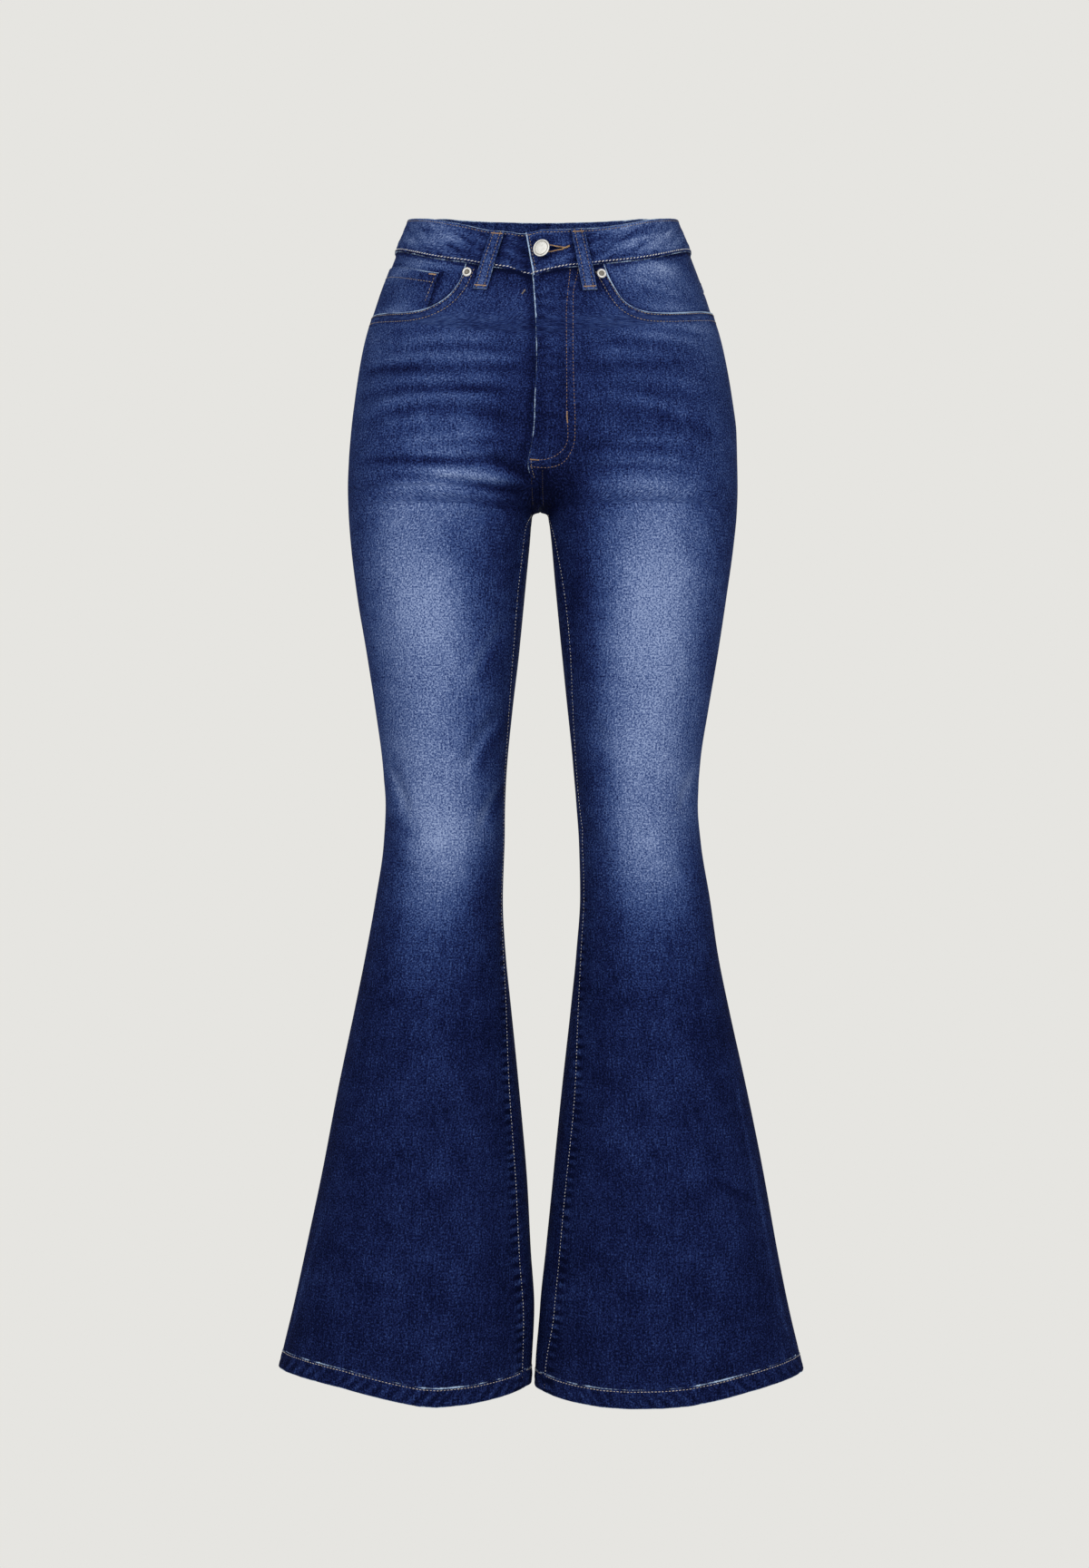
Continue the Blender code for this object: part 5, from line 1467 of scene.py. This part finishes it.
# The coin pocket's rows along its top and down its side, and its tack.
COIN_TOP = ((0.49, -56.0), (0.97, -58.4))
COIN_SIDE = ((0.470, -49.0), (0.490, -75.0))
COIN_TACK = ((0.4665, -48.3), (0.50, -48.7))
# Where the rows along the seat seam and the puckers of the lap are placed.
SEAT_Q = (-100.0, -140.0, -180.0, -215.0, -245.0, -262.0)
SEAT_YOKE_Q = (-37.0, -68.0, -96.0)
YOKE_WIDE = 190.0
LAP_Q = (-42.0, -90.0, -140.0, -190.0, -228.0)
# The tack across the buttonhole's end.
SLOT_TACK = ((0.090, -17.9), (0.106, -17.2), (0.1205, -15.8))


def note_leg_rows(side):
    front = "front_" + side
    for away in SCOOP_ROWS:
        sew(front, scoop_row(side, away), pull=0.12, pitch=9.0)
    hem = HEM + HEM_DEEP - 1.0
    for piece, start, end in ((front, 0.006, 0.994), ("back_" + side, 1.006, 1.994)):
        sew(piece, [(w, hem) for w in np.linspace(start, end, 24)], "pale", lift=0.35, pull=0.22, pitch=15.0)
    inseam = [(w, q) for q, w in INSEAM_ROWS[side]]
    sew(front, inseam, "white", lift=0.42, pull=0.34, pitch=8.5, kind="short_row")
    # The yoke is felled down over the back.
    for away in YOKE_ROWS:
        seam = [(w, yoke_seam(w - 1) + away) for w in np.linspace(1.004, 1.996, 12)]
        sew("yoke_" + side, seam, lift=0.35, pull=0.16, pitch=10.0)


def pocket_place(side, across, down, away=0.0):
    """A place (w, q) of the back pocket, at `away` millimetres inside its edge."""
    q, wide = pocket_form(across, down)
    q = q + (away if down == 1.0 else 0.0)
    return POCKET_W + across * (wide - away) / length_of(side, q, 1.0, 2.0), q


def pocket_row(side, away):
    """The row that runs inside the back pocket's edge."""
    corners = ((-1.0, 0.02), (-1.0, 1.0), (0.0, 1.0), (1.0, 1.0), (1.0, 0.02))
    return [pocket_place(side, across, down, away) for across, down in corners]


def note_pocket_rows(side):
    name = "back_pocket_" + side
    for away in POCKET_ROWS:
        sew(name, pocket_row(side, away), lift=1.95, pull=0.12, pitch=10.0, straight=True)
    left, right = (pocket_place(side, across, 0.0)[0] for across in (-1.0, 1.0))
    for away in POCKET_HEM_ROWS:
        row = [(left + 0.012, POCKET_TOP - away), (right - 0.012, POCKET_TOP - away)]
        sew(name, row, lift=1.95, pull=0.1, pitch=10.0)
    for corner, inward in ((left, 0.022), (right, -0.022)):
        tack = [(corner + 0.3 * inward, POCKET_TOP - 1.6), (corner + 1.1 * inward, POCKET_TOP - 9.0)]
        sew(name, tack, "orange", lift=2.1, kind="tack")


def note_seat_rows():
    """The seat seam is felled over to the left."""
    for away in SEAT_ROWS:
        seat = [(2.0 - away / length_of("left", q, 1.0, 2.0), q) for q in SEAT_Q]
        sew("back_left", seat, pull=0.2, pitch=10.0)
        sew("yoke_left", [(2.0 - away / YOKE_WIDE, q) for q in SEAT_YOKE_Q], pull=0.1, pitch=10.0)


def note_fly_rows():
    for row in FLY_J:
        sew("front_left", row, "rust", pull=0.14, pitch=9.0)
    for tack in FLY_TACKS:
        sew("front_left", tack, "orange", kind="thin_tack")
    sew("front_left", FLY_LOW, pull=0.1, pitch=7.0)
    sew("front_left", CROTCH_LEFT, "dark", pull=0.2, pitch=8.0)
    sew("front_right", CROTCH_RIGHT, "dark", pull=0.12, pitch=8.0)
    ROWS[-1]["lift"] = step_in(ROWS[-1]["w"], ROWS[-1]["q"])
    sew("front_right", LOOSE_TACK, kind="thin_tack")
    # The lap's two layers pucker between its edge and the zip.
    for away in LAP_ROWS:
        lap = [(away - float(fly_at(q)), q) for q in LAP_Q]
        sew("front_left", lap, None, pull=0.16, pitch=7.0 + 60 * away)


def note_coin_rows():
    sew("coin_pocket", COIN_TOP, lift=-0.65, pull=0.16, pitch=10.0)
    sew("coin_pocket", COIN_SIDE, lift=-0.65, pull=0.12, pitch=9.0)
    sew("coin_pocket", COIN_TACK, "orange", lift=-0.55, kind="thin_tack")


def note_band_rows():
    """The waistband is sewn along both its edges and down the over-end."""
    for top_start, low_start, side in ((-0.070, -0.036, "left"), (-0.02, -0.02, "right")):
        w = np.linspace(low_start, 2.0, 40)
        rows = (
            ([(at, -2.6) for at in np.linspace(top_start, 2.0, 40)], "tan", 0.16, "row"),
            (list(zip(w, between(SEAM[side], w) + 2.4)), "white", 0.2, "bold_row"),
        )
        for row, colour, pull, kind in rows:
            sew("waistband", row, colour, side, pull=pull, pitch=12.0, kind=kind)
            w_row = ROWS[-1]["w"]
            under = under_step(w_row) - 0.35 * bell(w_row - 0.118, 0.02)
            ROWS[-1]["lift"] = BAND_OUT - under * (side == "right")
    over_end = [(end_of_band(q) + 0.0135, q) for q in (-3.0, -20.0, -39.0)]
    sew("waistband", over_end, side="left", lift=BAND_OUT, pull=0.1)


def note_loop_rows():
    """Each belt loop has two rows down it and a tack across each end."""
    rows, lift = loop_rows()
    inner = (rows < -1.5) & (rows > -57.5)
    for name in LOOPS:
        side, middle, half = loop_place(name, rows)
        for turn in (-LOOP_ROW, LOOP_ROW):
            w = (middle + turn * half)[inner]
            ROWS.append({
                "piece": name, "side": side, "w": w, "q": rows[inner],
                "base": skin(side, w, rows[inner], 0.0), "thread": "tan",
                "lift": lift[inner] + LOOP_CLOTH + 0.06, "pull": 0.0, "pitch": 9.0, "seed": 1.0, "kind": "row",
            })
        for q in (-3.6, -55.6):
            at = float(np.interp(-q, -rows, lift))
            mid = float(np.interp(-q, -rows, middle))
            sew(name, ((mid - 0.8 * half, q), (mid + 0.8 * half, q)), "orange", side,
                lift=at + LOOP_CLOTH + 0.2, kind="thin_tack")


def note_buttonhole():
    """It is sewn close together all round its slot, which gapes towards the button."""
    for up in (1.0, -1.0):
        edge = [(w, SLOT_Q + up * (half + 0.7)) for w, half in SLOT]
        sew("waistband", edge, "gold", "left", lift=BAND_OUT + 0.1, kind="thin_tack")
    sew("waistband", SLOT_TACK, "gold", "left", lift=BAND_OUT + 0.15, kind="tack")


def note_rows():
    """All the sewn rows of the garment. Their order sets their puckers."""
    for side in SIDES:
        note_leg_rows(side)
        note_pocket_rows(side)
    note_seat_rows()
    note_fly_rows()
    note_coin_rows()
    note_band_rows()
    note_loop_rows()
    note_buttonhole()


# Painted shade lines with places of their own, beside the fly's row, in the crotch and round the coin pocket:
# the piece, the points (w, q), how wide they are and how dark.
LONE_SHADE_LINES = (
    ("front_left", ((0.085, -42.0), (0.082, -120.0), (0.082, -205.0)), 4.0, 0.06),
    ("front_left", ((0.010, -246.0), (0.012, -272.0)), 7.0, 0.14),
    ("front_right", ((0.010, -250.0), (0.010, -272.0)), 7.0, 0.12),
    ("pocket_facing_right", ((0.448, -46.0), (0.470, -76.0)), 3.0, 0.24),
    ("pocket_facing_right", ((0.45, -43.8), (0.97, -46.0)), 2.5, 0.16),
)
# Where the painted shadow lines along the fly are placed, how far a loop's painted shadow lines lie from its
# middle, and the size of the painted shadow ring round the button, in w and in millimetres.
FLY_Q = (-36.0, -60.0, -96.0, -149.0, -188.0, -228.0, -240.0, -249.0)
LOOP_LINE = 0.026
RING_WIDE = 0.052
RING_TALL = 9.6


def note_side_lines(side):
    """The painted shade lines beside the seams and pockets of one side, and the dye kept along its inseams."""
    front = "front_" + side
    back = "back_" + side
    facing = "pocket_facing_" + side

    def seam(start, end, count, drop):
        return [(w, float(between(SEAM[side], w)) - drop) for w in np.linspace(start, end, count)]

    # Painted shadow under the waistband and along the scoop's sunk rows.
    darker(front, seam(0.0, 0.34, 8, 1.5), 4.0, 0.18)
    for away in SCOOP_ROWS:
        darker(front, scoop_row(side, away), 1.8, 0.16)
    # Painted shadow in the gap of the waistband's seam, on both sides of it.
    along = seam(0.0, 0.99, 24, 0.8)
    darker(front, [(w, q) for w, q in along if w < 0.36], 1.6, 0.24)
    darker(facing, [(w, q) for w, q in along if w > 0.30], 1.6, 0.26)
    darker("waistband", seam(0.0, 0.99, 24, -0.4), 1.3, 0.30, side)
    # Painted shadow on the facing under the waistband and under the front's scoop edge.
    darker(facing, seam(0.3, 0.99, 8, 2.0), 3.0, 0.12 if side == "left" else 0.05)
    darker(facing, [(w, q + 1.0) for _, w, q in SCOOP[side] if w < 0.86], 2.8, 0.20)
    # Dye kept beside the inseams.
    for piece, w, wide in ((front, 0.004, 5.0), (back, 1.996, 6.0)):
        darker(piece, [(w, q) for q in (-277.0, -420.0, -560.0)], wide, 0.05)
    # Painted shadow round the back pocket's edges.
    pocket = [(w, q - 1.5) for w, q in pocket_row(side, 0.0)]
    for piece in (back, "yoke_" + side):
        darker(piece, pocket, 3.5, 0.12)


def note_dark_lines():
    """The painted shade lines beside the seams, the loops, the pockets and the fly, and the dye kept along the
    inseams.
    """
    for side in SIDES:
        note_side_lines(side)
    # Painted shadow beside the belt loops, on the cloth below them and on the waistband.
    for side, w_top, w_low in LOOPS.values():
        beside = ("front_" if w_top < 1 else "yoke_") + side
        for turn in (-LOOP_LINE, LOOP_LINE):
            low = [(w_top + 0.7 * (w_low - w_top) + turn, -40.0), (w_low + turn, -56.0)]
            darker(beside, low, 4.5, 0.22, side)
            top = [(w_top + turn, -2.0), (w_top + 0.6 * (w_low - w_top) + turn, -36.0)]
            darker("waistband", top, 3.6, 0.22, side)
    # Painted shadow beside the fly's edge on both fronts.
    fly = [(float(fly_at(q)), q) for q in FLY_Q]
    darker("front_right", [(w + 0.012, q) for w, q in fly], 4.5, 0.16)
    darker("front_left", [(0.018 - w, q) for w, q in fly], 4.0, 0.10)
    for line in LONE_SHADE_LINES:
        darker(*line)
    # Painted shadow beside the over-end and round the button.
    darker("waistband", [(end_of_band(q) - 0.022, q) for q in (-3.0, -20.0, -40.0)], 4.0, 0.2, "left")
    turns = np.linspace(0, 2 * math.pi, 17)
    ring = [(BUTTON_W + RING_WIDE * math.cos(turn), BUTTON_Q + RING_TALL * math.sin(turn)) for turn in turns]
    darker("waistband", ring, 4.0, 0.16, "left")


# ---- Button, rivets and zip --------------------------------------------------------------------

def turned(name, place, up, profile, steps, groove=(0.0, 0.0)):
    """A closed body of revolution: profile is (radius, height) from the lowest centre to the highest.
    The faces above 0 between the groove's two radii take the second material, a dark metal that paints the
    shade in the groove."""
    z = Vector(up).normalized()
    x = z.orthogonal().normalized()
    y = z.cross(x)
    points = []
    for radius, height in profile:
        for k in range(1 if radius == 0 else steps):
            angle = 2 * math.pi * k / steps
            points.append(Vector(place) + radius * (math.cos(angle) * x + math.sin(angle) * y) + height * z)
    faces = []
    dark = []
    start = 0
    for (r0, h0), (r1, h1) in zip(profile, profile[1:]):
        dark += [int(groove[0] < 0.5 * (r0 + r1) < groove[1] and h0 + h1 > 0)] * steps
        n0 = 1 if r0 == 0 else steps
        n1 = 1 if r1 == 0 else steps
        for k in range(steps):
            ring = (start + k % n0, start + (k + 1) % n0, start + n0 + (k + 1) % n1, start + n0 + k % n1)
            faces.append(tuple(dict.fromkeys(ring)))
        start += n0
    obj = object_from(name, [tuple(p) for p in points], faces, 60.0)
    obj.data.polygons.foreach_set("material_index", dark)
    return obj


def rounded(profile, corner):
    """A profile with each of its corners cut into three."""
    points = [profile[0]]
    for before, here, after in zip(profile, profile[1:], profile[2:]):
        for other, keep in ((before, -1), (after, 1)):
            long = math.hypot(other[0] - here[0], other[1] - here[1])
            share = min(0.45, corner / max(long, 1e-6))
            spot = (here[0] + share * (other[0] - here[0]), here[1] + share * (other[1] - here[1]))
            if keep > 0:
                points.append(tuple(0.5 * here[k] + 0.25 * (points[-1][k] + spot[k]) for k in (0, 1)))
            points.append(spot)
    return points + [profile[-1]]


def place_and_up(side, w, q):
    """A point of the cloth's form and the way out from it."""
    place, above = skin(side, w, q, np.array((0.0, 1.0)))
    return place, above - place


def button():
    place, up = place_and_up("left", BUTTON_W, BUTTON_Q)
    # The button stands a little turned in its buttonhole.
    up = Matrix.Rotation(math.radians(-25), 3, "Z") @ Vector(up)
    profile = [
        (0.0, -2.2), (2.0, -2.2), (2.0, 2.2), (5.4, 2.4), (7.5, 2.8), (8.0, 3.5), (7.8, 4.1), (7.4, 4.35),
        (6.6, 4.3), (6.35, 4.0), (6.1, 4.0), (5.8, 4.25), (4.9, 4.35), (3.6, 4.45), (2.2, 4.5), (0.0, 4.52),
    ]
    return turned("button_cap", place, up, rounded(profile, 0.3), 72, (6.0, 6.5))


def rivet(name):
    side, w = RIVET_W[name]
    place, up = place_and_up(side, w, RIVET_Q)
    profile = [
        (0.0, -0.3), (3.5, -0.3), (4.2, 0.25), (4.3, 0.8), (4.0, 1.4), (3.4, 1.7), (2.8, 1.65), (2.4, 1.25),
        (2.15, 0.6), (1.8, 0.3), (0.0, 0.25),
    ]
    return turned(name + "_cap", place, up, rounded(profile, 0.2), 48, (0.0, 2.3))


# ---- Materials ---------------------------------------------------------------------------------

def rgba(colour):
    """A colour of three numbers made four; what comes from a node stays as it is."""
    return (*colour, 1.0) if isinstance(colour, tuple) else colour


class Finish:
    """A material's node tree, with short ways to add and join nodes."""

    def __init__(self, name):
        self.material = bpy.data.materials.new(name)
        self.material.use_nodes = True
        self.tree = self.material.node_tree
        self.shader = self.tree.nodes["Principled BSDF"]

    def node(self, kind, inputs=(), output=0, **settings):
        return add_node(self.tree, kind, inputs, **settings).outputs[output]

    def sum(self, operation, a, b=0.0, c=0.0):
        return self.node("ShaderNodeMath", enumerate((a, b, c)), operation=operation)

    def add(self, number, amount, total):
        """The total with a share of a number that is about 0.5."""
        return self.sum("MULTIPLY_ADD", self.sum("SUBTRACT", number, 0.5), amount, total)

    def scaled(self, vector, by):
        return self.node("ShaderNodeMapping", {"Vector": vector, "Scale": by})

    def noise(self, vector, scale, detail=2.0, rough=0.5, kind="2D"):
        inputs = {"Vector": vector, "Scale": scale, "Detail": detail, "Roughness": rough}
        return self.node("ShaderNodeTexNoise", inputs, noise_dimensions=kind)

    def cloth(self):
        return self.node("ShaderNodeUVMap", uv_map="cloth")

    def place(self):
        return self.node("ShaderNodeTexCoord", output="Object")

    def number(self, name):
        return self.node("ShaderNodeAttribute", output="Fac", attribute_name=name)

    def ramp(self, value, stops):
        made = add_node(self.tree, "ShaderNodeValToRGB", {0: value})
        ramp = made.color_ramp
        while len(ramp.elements) < len(stops):
            ramp.elements.new(0.5)
        for element, (at, colour) in zip(ramp.elements, stops):
            element.position = at
            element.color = (*colour, 1.0)
        return made.outputs[0]

    def brought(self, value, *ends):
        """The value taken from its first two ends to the other two, smoothly."""
        inputs = {0: value, **dict(enumerate(ends, 1))}
        return self.node("ShaderNodeMapRange", inputs, interpolation_type="SMOOTHSTEP")

    def mix(self, share, a, b):
        inputs = {0: share, 6: rgba(a), 7: rgba(b)}
        return self.node("ShaderNodeMix", inputs, 2, data_type="RGBA", blend_type="MIX")

    def bump(self, height, distance, strength):
        inputs = {"Strength": strength, "Distance": distance, "Height": height}
        set_inputs(self.tree, self.shader, {"Normal": self.node("ShaderNodeBump", inputs)})

    def surface(self, colour, rough, metallic=0.0, sheen=0.0, specular=0.3):
        set_inputs(self.tree, self.shader, {
            "Base Color": rgba(colour), "Roughness": rough, "Metallic": metallic,
            "Specular IOR Level": specular, "Sheen Weight": sheen, "Sheen Roughness": 0.5,
        })
        return self.material


# The dye from deep indigo to washed; below 0.1 the ramp gives the painted shade, darker than the deepest dye.
DYE_AND_SHADE = (
    (0.0, (0.0018, 0.0034, 0.019)), (0.1, (0.0044, 0.0074, 0.041)), (0.28, (0.0108, 0.0200, 0.086)),
    (0.42, (0.0235, 0.0480, 0.160)), (0.6, (0.058, 0.096, 0.235)), (0.76, (0.116, 0.165, 0.330)),
    (0.92, (0.190, 0.250, 0.440)), (1.0, (0.27, 0.34, 0.54)),
)
# The bared weft of worn edges, how strong the grain is, and how much stronger it gets with the fade.
WORN = (0.42, 0.56, 0.76)
GRAIN = 1.15
GRAIN_FADE = 1.05
# How much larger the noise is than the cloth across and along a thread.
WARP_THREADS = (1.0, 0.09, 1.0)
SLUB_THREADS = (1.0, 0.05, 1.0)


def twill(finish, cloth):
    """The twill's slanting ribs, and the uneven warp threads, as two numbers from 0 to 1."""
    ribs = finish.node("ShaderNodeTexWave", {
        "Vector": finish.scaled(cloth, (1.0, -0.6, 0.0)), "Scale": 500.0, "Distortion": 1.4,
        "Detail": 1.0, "Detail Scale": 2.5,
    }, "Fac", wave_type="BANDS", bands_direction="DIAGONAL")
    return ribs, finish.noise(finish.scaled(cloth, WARP_THREADS), 1150.0, 1.0)


def denim(name):
    finish = Finish(name)
    cloth = finish.cloth()
    ribs, warp = twill(finish, cloth)
    grain = finish.noise(cloth, 620.0, 2.0, 0.7)
    flecks = finish.noise(cloth, 1050.0, 1.0)
    slub = finish.noise(finish.scaled(cloth, SLUB_THREADS), 360.0, 2.0)
    mottle = finish.noise(cloth, 95.0, 3.0, 0.6)
    cloudy = finish.noise(cloth, 30.0, 3.0, 0.6)
    broad = finish.noise(cloth, 9.0, 2.0)
    # The attribute holds how far the dye has faded, with the painted shade of the seams and the folds taken off
    # it.
    fade_and_shade = finish.number("fade_and_shade")
    # Paler cloth shows its white weft, so its grain is stronger.
    strength = finish.sum("MULTIPLY_ADD", fade_and_shade, GRAIN_FADE, GRAIN)
    speckle = finish.sum("MULTIPLY", finish.sum("SUBTRACT", grain, 0.5), strength)
    shares = ((warp, 0.34), (slub, 0.15), (ribs, 0.05), (mottle, 0.16), (cloudy, 0.26), (broad, 0.12))
    for number, amount in shares:
        speckle = finish.add(number, amount, speckle)
    # Puckers are rubbed pale on top and keep their dye below.
    speckle = finish.sum("MULTIPLY_ADD", finish.number("pucker"), 0.12, speckle)
    tone = finish.sum("ADD", fade_and_shade, speckle)
    # A few weft threads stand out white.
    white = finish.brought(flecks, 0.66, 0.80, 0.0, 1.0)
    tone = finish.sum("MULTIPLY_ADD", white, finish.sum("MULTIPLY_ADD", fade_and_shade, 0.3, 0.10), tone)
    colour = finish.ramp(finish.sum("MULTIPLY_ADD", tone, 0.9, 0.1), DYE_AND_SHADE)
    # Edges are rubbed through to the weft, more in some places than in others.
    edge = finish.number("edge")
    for number, amount in ((cloudy, 2.4), (mottle, 1.6), (grain, 1.6)):
        edge = finish.add(number, amount, edge)
    colour = finish.mix(finish.brought(edge, 0.2, 1.15, 0.92, 0.0), colour, WORN)
    height = finish.sum("MULTIPLY_ADD", ribs, 0.7, finish.sum("MULTIPLY", grain, 0.8))
    finish.bump(height, 0.00025, 0.5)
    return finish.surface(colour, 0.9, specular=0.03)


def denim_inside(name):
    """The cloth's back, where the pale weft shows most."""
    finish = Finish(name)
    cloth = finish.cloth()
    ribs, warp = twill(finish, cloth)
    grain = finish.noise(cloth, 900.0, 2.0)
    value = finish.sum("MULTIPLY_ADD", ribs, 0.45, finish.sum("MULTIPLY", grain, 0.35))
    value = finish.sum("MULTIPLY_ADD", warp, 0.2, value)
    colour = finish.ramp(value, ((0.2, (0.035, 0.055, 0.13)), (0.8, (0.20, 0.25, 0.36))))
    finish.bump(value, 0.0002, 0.4)
    return finish.surface(colour, 0.95, specular=0.03)


def thread(name, dark, pale):
    finish = Finish(name)
    place = finish.place()
    tone = finish.noise(place, 260.0, 2.0, kind="3D")
    ply = finish.noise(place, 2600.0, 1.0, kind="3D")
    both = finish.sum("MULTIPLY_ADD", ply, 0.5, finish.sum("MULTIPLY", tone, 0.5))
    colour = finish.ramp(both, ((0.3, dark), (0.7, pale)))
    finish.bump(ply, 0.0001, 0.5)
    return finish.surface(colour, 0.7, sheen=0.1)


def metal(name, colour, dark, rough, share=1.0):
    finish = Finish(name)
    place = finish.place()
    worn = finish.noise(place, 420.0, 4.0, 0.6, "3D")
    fine = finish.noise(place, 3200.0, 2.0, 0.5, "3D")
    tone = finish.ramp(worn, ((0.3, dark), (0.62, colour)))
    shine = finish.sum("MULTIPLY_ADD", worn, 0.16, rough)
    finish.bump(fine, 0.00005, 0.4)
    return finish.surface(tone, shine, metallic=share, specular=0.5)


def zip_cloth(name):
    finish = Finish(name)
    place = finish.place()
    inputs = {"Vector": place, "Scale": 420.0, "Distortion": 0.6}
    weave = finish.node("ShaderNodeTexWave", inputs, "Fac", wave_type="BANDS", bands_direction="Z")
    colour = finish.ramp(weave, ((0.2, (0.006, 0.009, 0.025)), (0.8, (0.02, 0.028, 0.06))))
    finish.bump(weave, 0.0003, 0.5)
    return finish.surface(colour, 0.85)


# ---- The garment -------------------------------------------------------------------------------

note_rows()
note_dark_lines()
for part_side in SIDES:
    leg_front(part_side)
    leg_back(part_side)
    yoke(part_side)
    pocket_facing(part_side)
    back_pocket(part_side)
coin_pocket()
waistband()
for loop_name in LOOPS:
    belt_loop(loop_name)

OUTSIDE = denim("denim_face")
INSIDE = denim_inside("denim_back")
THREAD_SHADES = {
    "tan": ((0.11, 0.080, 0.058), (0.42, 0.34, 0.26)),
    "rust": ((0.10, 0.060, 0.038), (0.34, 0.22, 0.15)),
    "orange": ((0.26, 0.14, 0.06), (0.52, 0.34, 0.20)),
    "gold": ((0.22, 0.12, 0.05), (0.50, 0.32, 0.15)),
    "pale": ((0.30, 0.26, 0.24), (0.72, 0.66, 0.60)),
    "white": ((0.34, 0.33, 0.35), (0.80, 0.78, 0.76)),
    "dark": ((0.014, 0.011, 0.014), (0.055, 0.036, 0.030)),
}
THREADS = {colour: thread("thread_" + colour, *shades) for colour, shades in THREAD_SHADES.items()}
sewn = finish_rows(THREADS)

for piece_name, obj in LAYERS.items():
    # The visible piece stands for the node of its own name.
    obj.name = piece_name + "_cloth"
    obj.data.name = obj.name
    obj.data.materials.append(OUTSIDE)
    obj.data.materials.append(OUTSIDE if piece_name.startswith(("belt_loop", "waistband")) else INSIDE)
    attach(obj, "root")
    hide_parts(piece_name)
    for stitches in sewn.get(piece_name, []):
        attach(stitches, "root")

SILVER = metal("button_metal", (0.80, 0.79, 0.75), (0.62, 0.60, 0.56), 0.46, 0.45)
RIVET_METAL = metal("rivet_metal", (0.82, 0.81, 0.78), (0.50, 0.48, 0.45), 0.42, 0.55)
# A dark metal for the button's ring groove and the rivets' hollow centres, which paints the shade in these
# recesses.
HOLLOW_SHADE = metal("hollow_shade_metal", (0.24, 0.22, 0.19), (0.13, 0.12, 0.10), 0.5, 0.6)
cap = button()
cap.data.materials.append(SILVER)
cap.data.materials.append(HOLLOW_SHADE)
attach(cap, "root")
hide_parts("button")
for rivet_name in RIVET_W:
    cap = rivet(rivet_name)
    cap.data.materials.append(RIVET_METAL)
    cap.data.materials.append(HOLLOW_SHADE)
    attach(cap, "root")
    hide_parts(rivet_name)
ZIP_FINISHES = {
    "zip_tape": zip_cloth("zip_weave"),
    "zip_slider": metal("zip_metal", (0.7, 0.66, 0.55), (0.4, 0.37, 0.3), 0.35),
}
for node_name, zip_finish in ZIP_FINISHES.items():
    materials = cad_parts[node_name].data.materials
    materials.clear()
    materials.append(zip_finish)

# ---- Floor, light and camera -------------------------------------------------------------------

BACKDROP = (0.791, 0.783, 0.753, 1.0)
FLOOR_HALF = 14
FLOOR_LEVEL = -1.34
ROOM_LIGHT = 0.30
# Each lamp's place, the point it aims at, its width and height in metres, and its watts.
LAMPS = {
    "key": ((-0.9, -2.6, 0.9), (0.0, 0.0, -0.45), 1.6, 1.6, 44.0),
    "fill": ((1.5, -2.4, 0.1), (0.0, 0.0, -0.55), 1.6, 2.2, 24.0),
    "back": ((0.3, 2.6, 0.8), (0.0, 0.0, -0.5), 1.8, 1.8, 30.0),
}
CAMERA_PLACE = (0.002, -2.3, -0.523)
LENS = 57.05


def plain_floor():
    mesh = bpy.data.meshes.new("floor")
    corners = [(x * FLOOR_HALF, y * FLOOR_HALF, FLOOR_LEVEL) for x, y in ((-1, -1), (1, -1), (1, 1), (-1, 1))]
    mesh.from_pydata(corners, [], [(0, 1, 2, 3)])
    obj = add_object("floor", mesh)
    material = bpy.data.materials.new("floor")
    material.use_nodes = True
    tree = material.node_tree
    tree.nodes.clear()
    glow = add_node(tree, "ShaderNodeEmission", {"Color": BACKDROP})
    add_node(tree, "ShaderNodeOutputMaterial", {"Surface": glow.outputs[0]})
    mesh.materials.append(material)


def soft_room(strength):
    """Even light from all round, which the camera sees as the backdrop."""
    world = bpy.data.worlds.new("studio")
    bpy.context.scene.world = world
    world.use_nodes = True
    tree = world.node_tree
    tree.nodes.clear()
    seen = add_node(tree, "ShaderNodeLightPath").outputs["Is Camera Ray"]
    light = add_node(tree, "ShaderNodeBackground", {"Color": (0.96, 0.98, 1.0, 1.0), "Strength": strength})
    plain = add_node(tree, "ShaderNodeBackground", {"Color": BACKDROP})
    mixed = add_node(tree, "ShaderNodeMixShader", {"Fac": seen, 1: light.outputs[0], 2: plain.outputs[0]})
    add_node(tree, "ShaderNodeOutputWorld", {"Surface": mixed.outputs[0]})


def lamp(name, place, aim, wide, tall, watts):
    data = bpy.data.lights.new(name, "AREA")
    data.shape = "RECTANGLE"
    data.size = wide
    data.size_y = tall
    data.energy = watts
    obj = add_object(name, data)
    obj.location = place
    obj.rotation_euler = (Vector(aim) - Vector(place)).to_track_quat("-Z", "Y").to_euler()


def camera():
    data = bpy.data.cameras.new("camera")
    data.lens = LENS
    data.sensor_width = 36.0
    obj = add_object("camera", data)
    obj.location = CAMERA_PLACE
    obj.rotation_euler = (math.radians(90), 0.0, 0.0)
    bpy.context.scene.camera = obj


plain_floor()
soft_room(ROOM_LIGHT)
for lamp_name, lamp_settings in LAMPS.items():
    lamp(lamp_name, *lamp_settings)
camera()
bpy.context.scene.view_settings.view_transform = "Standard"
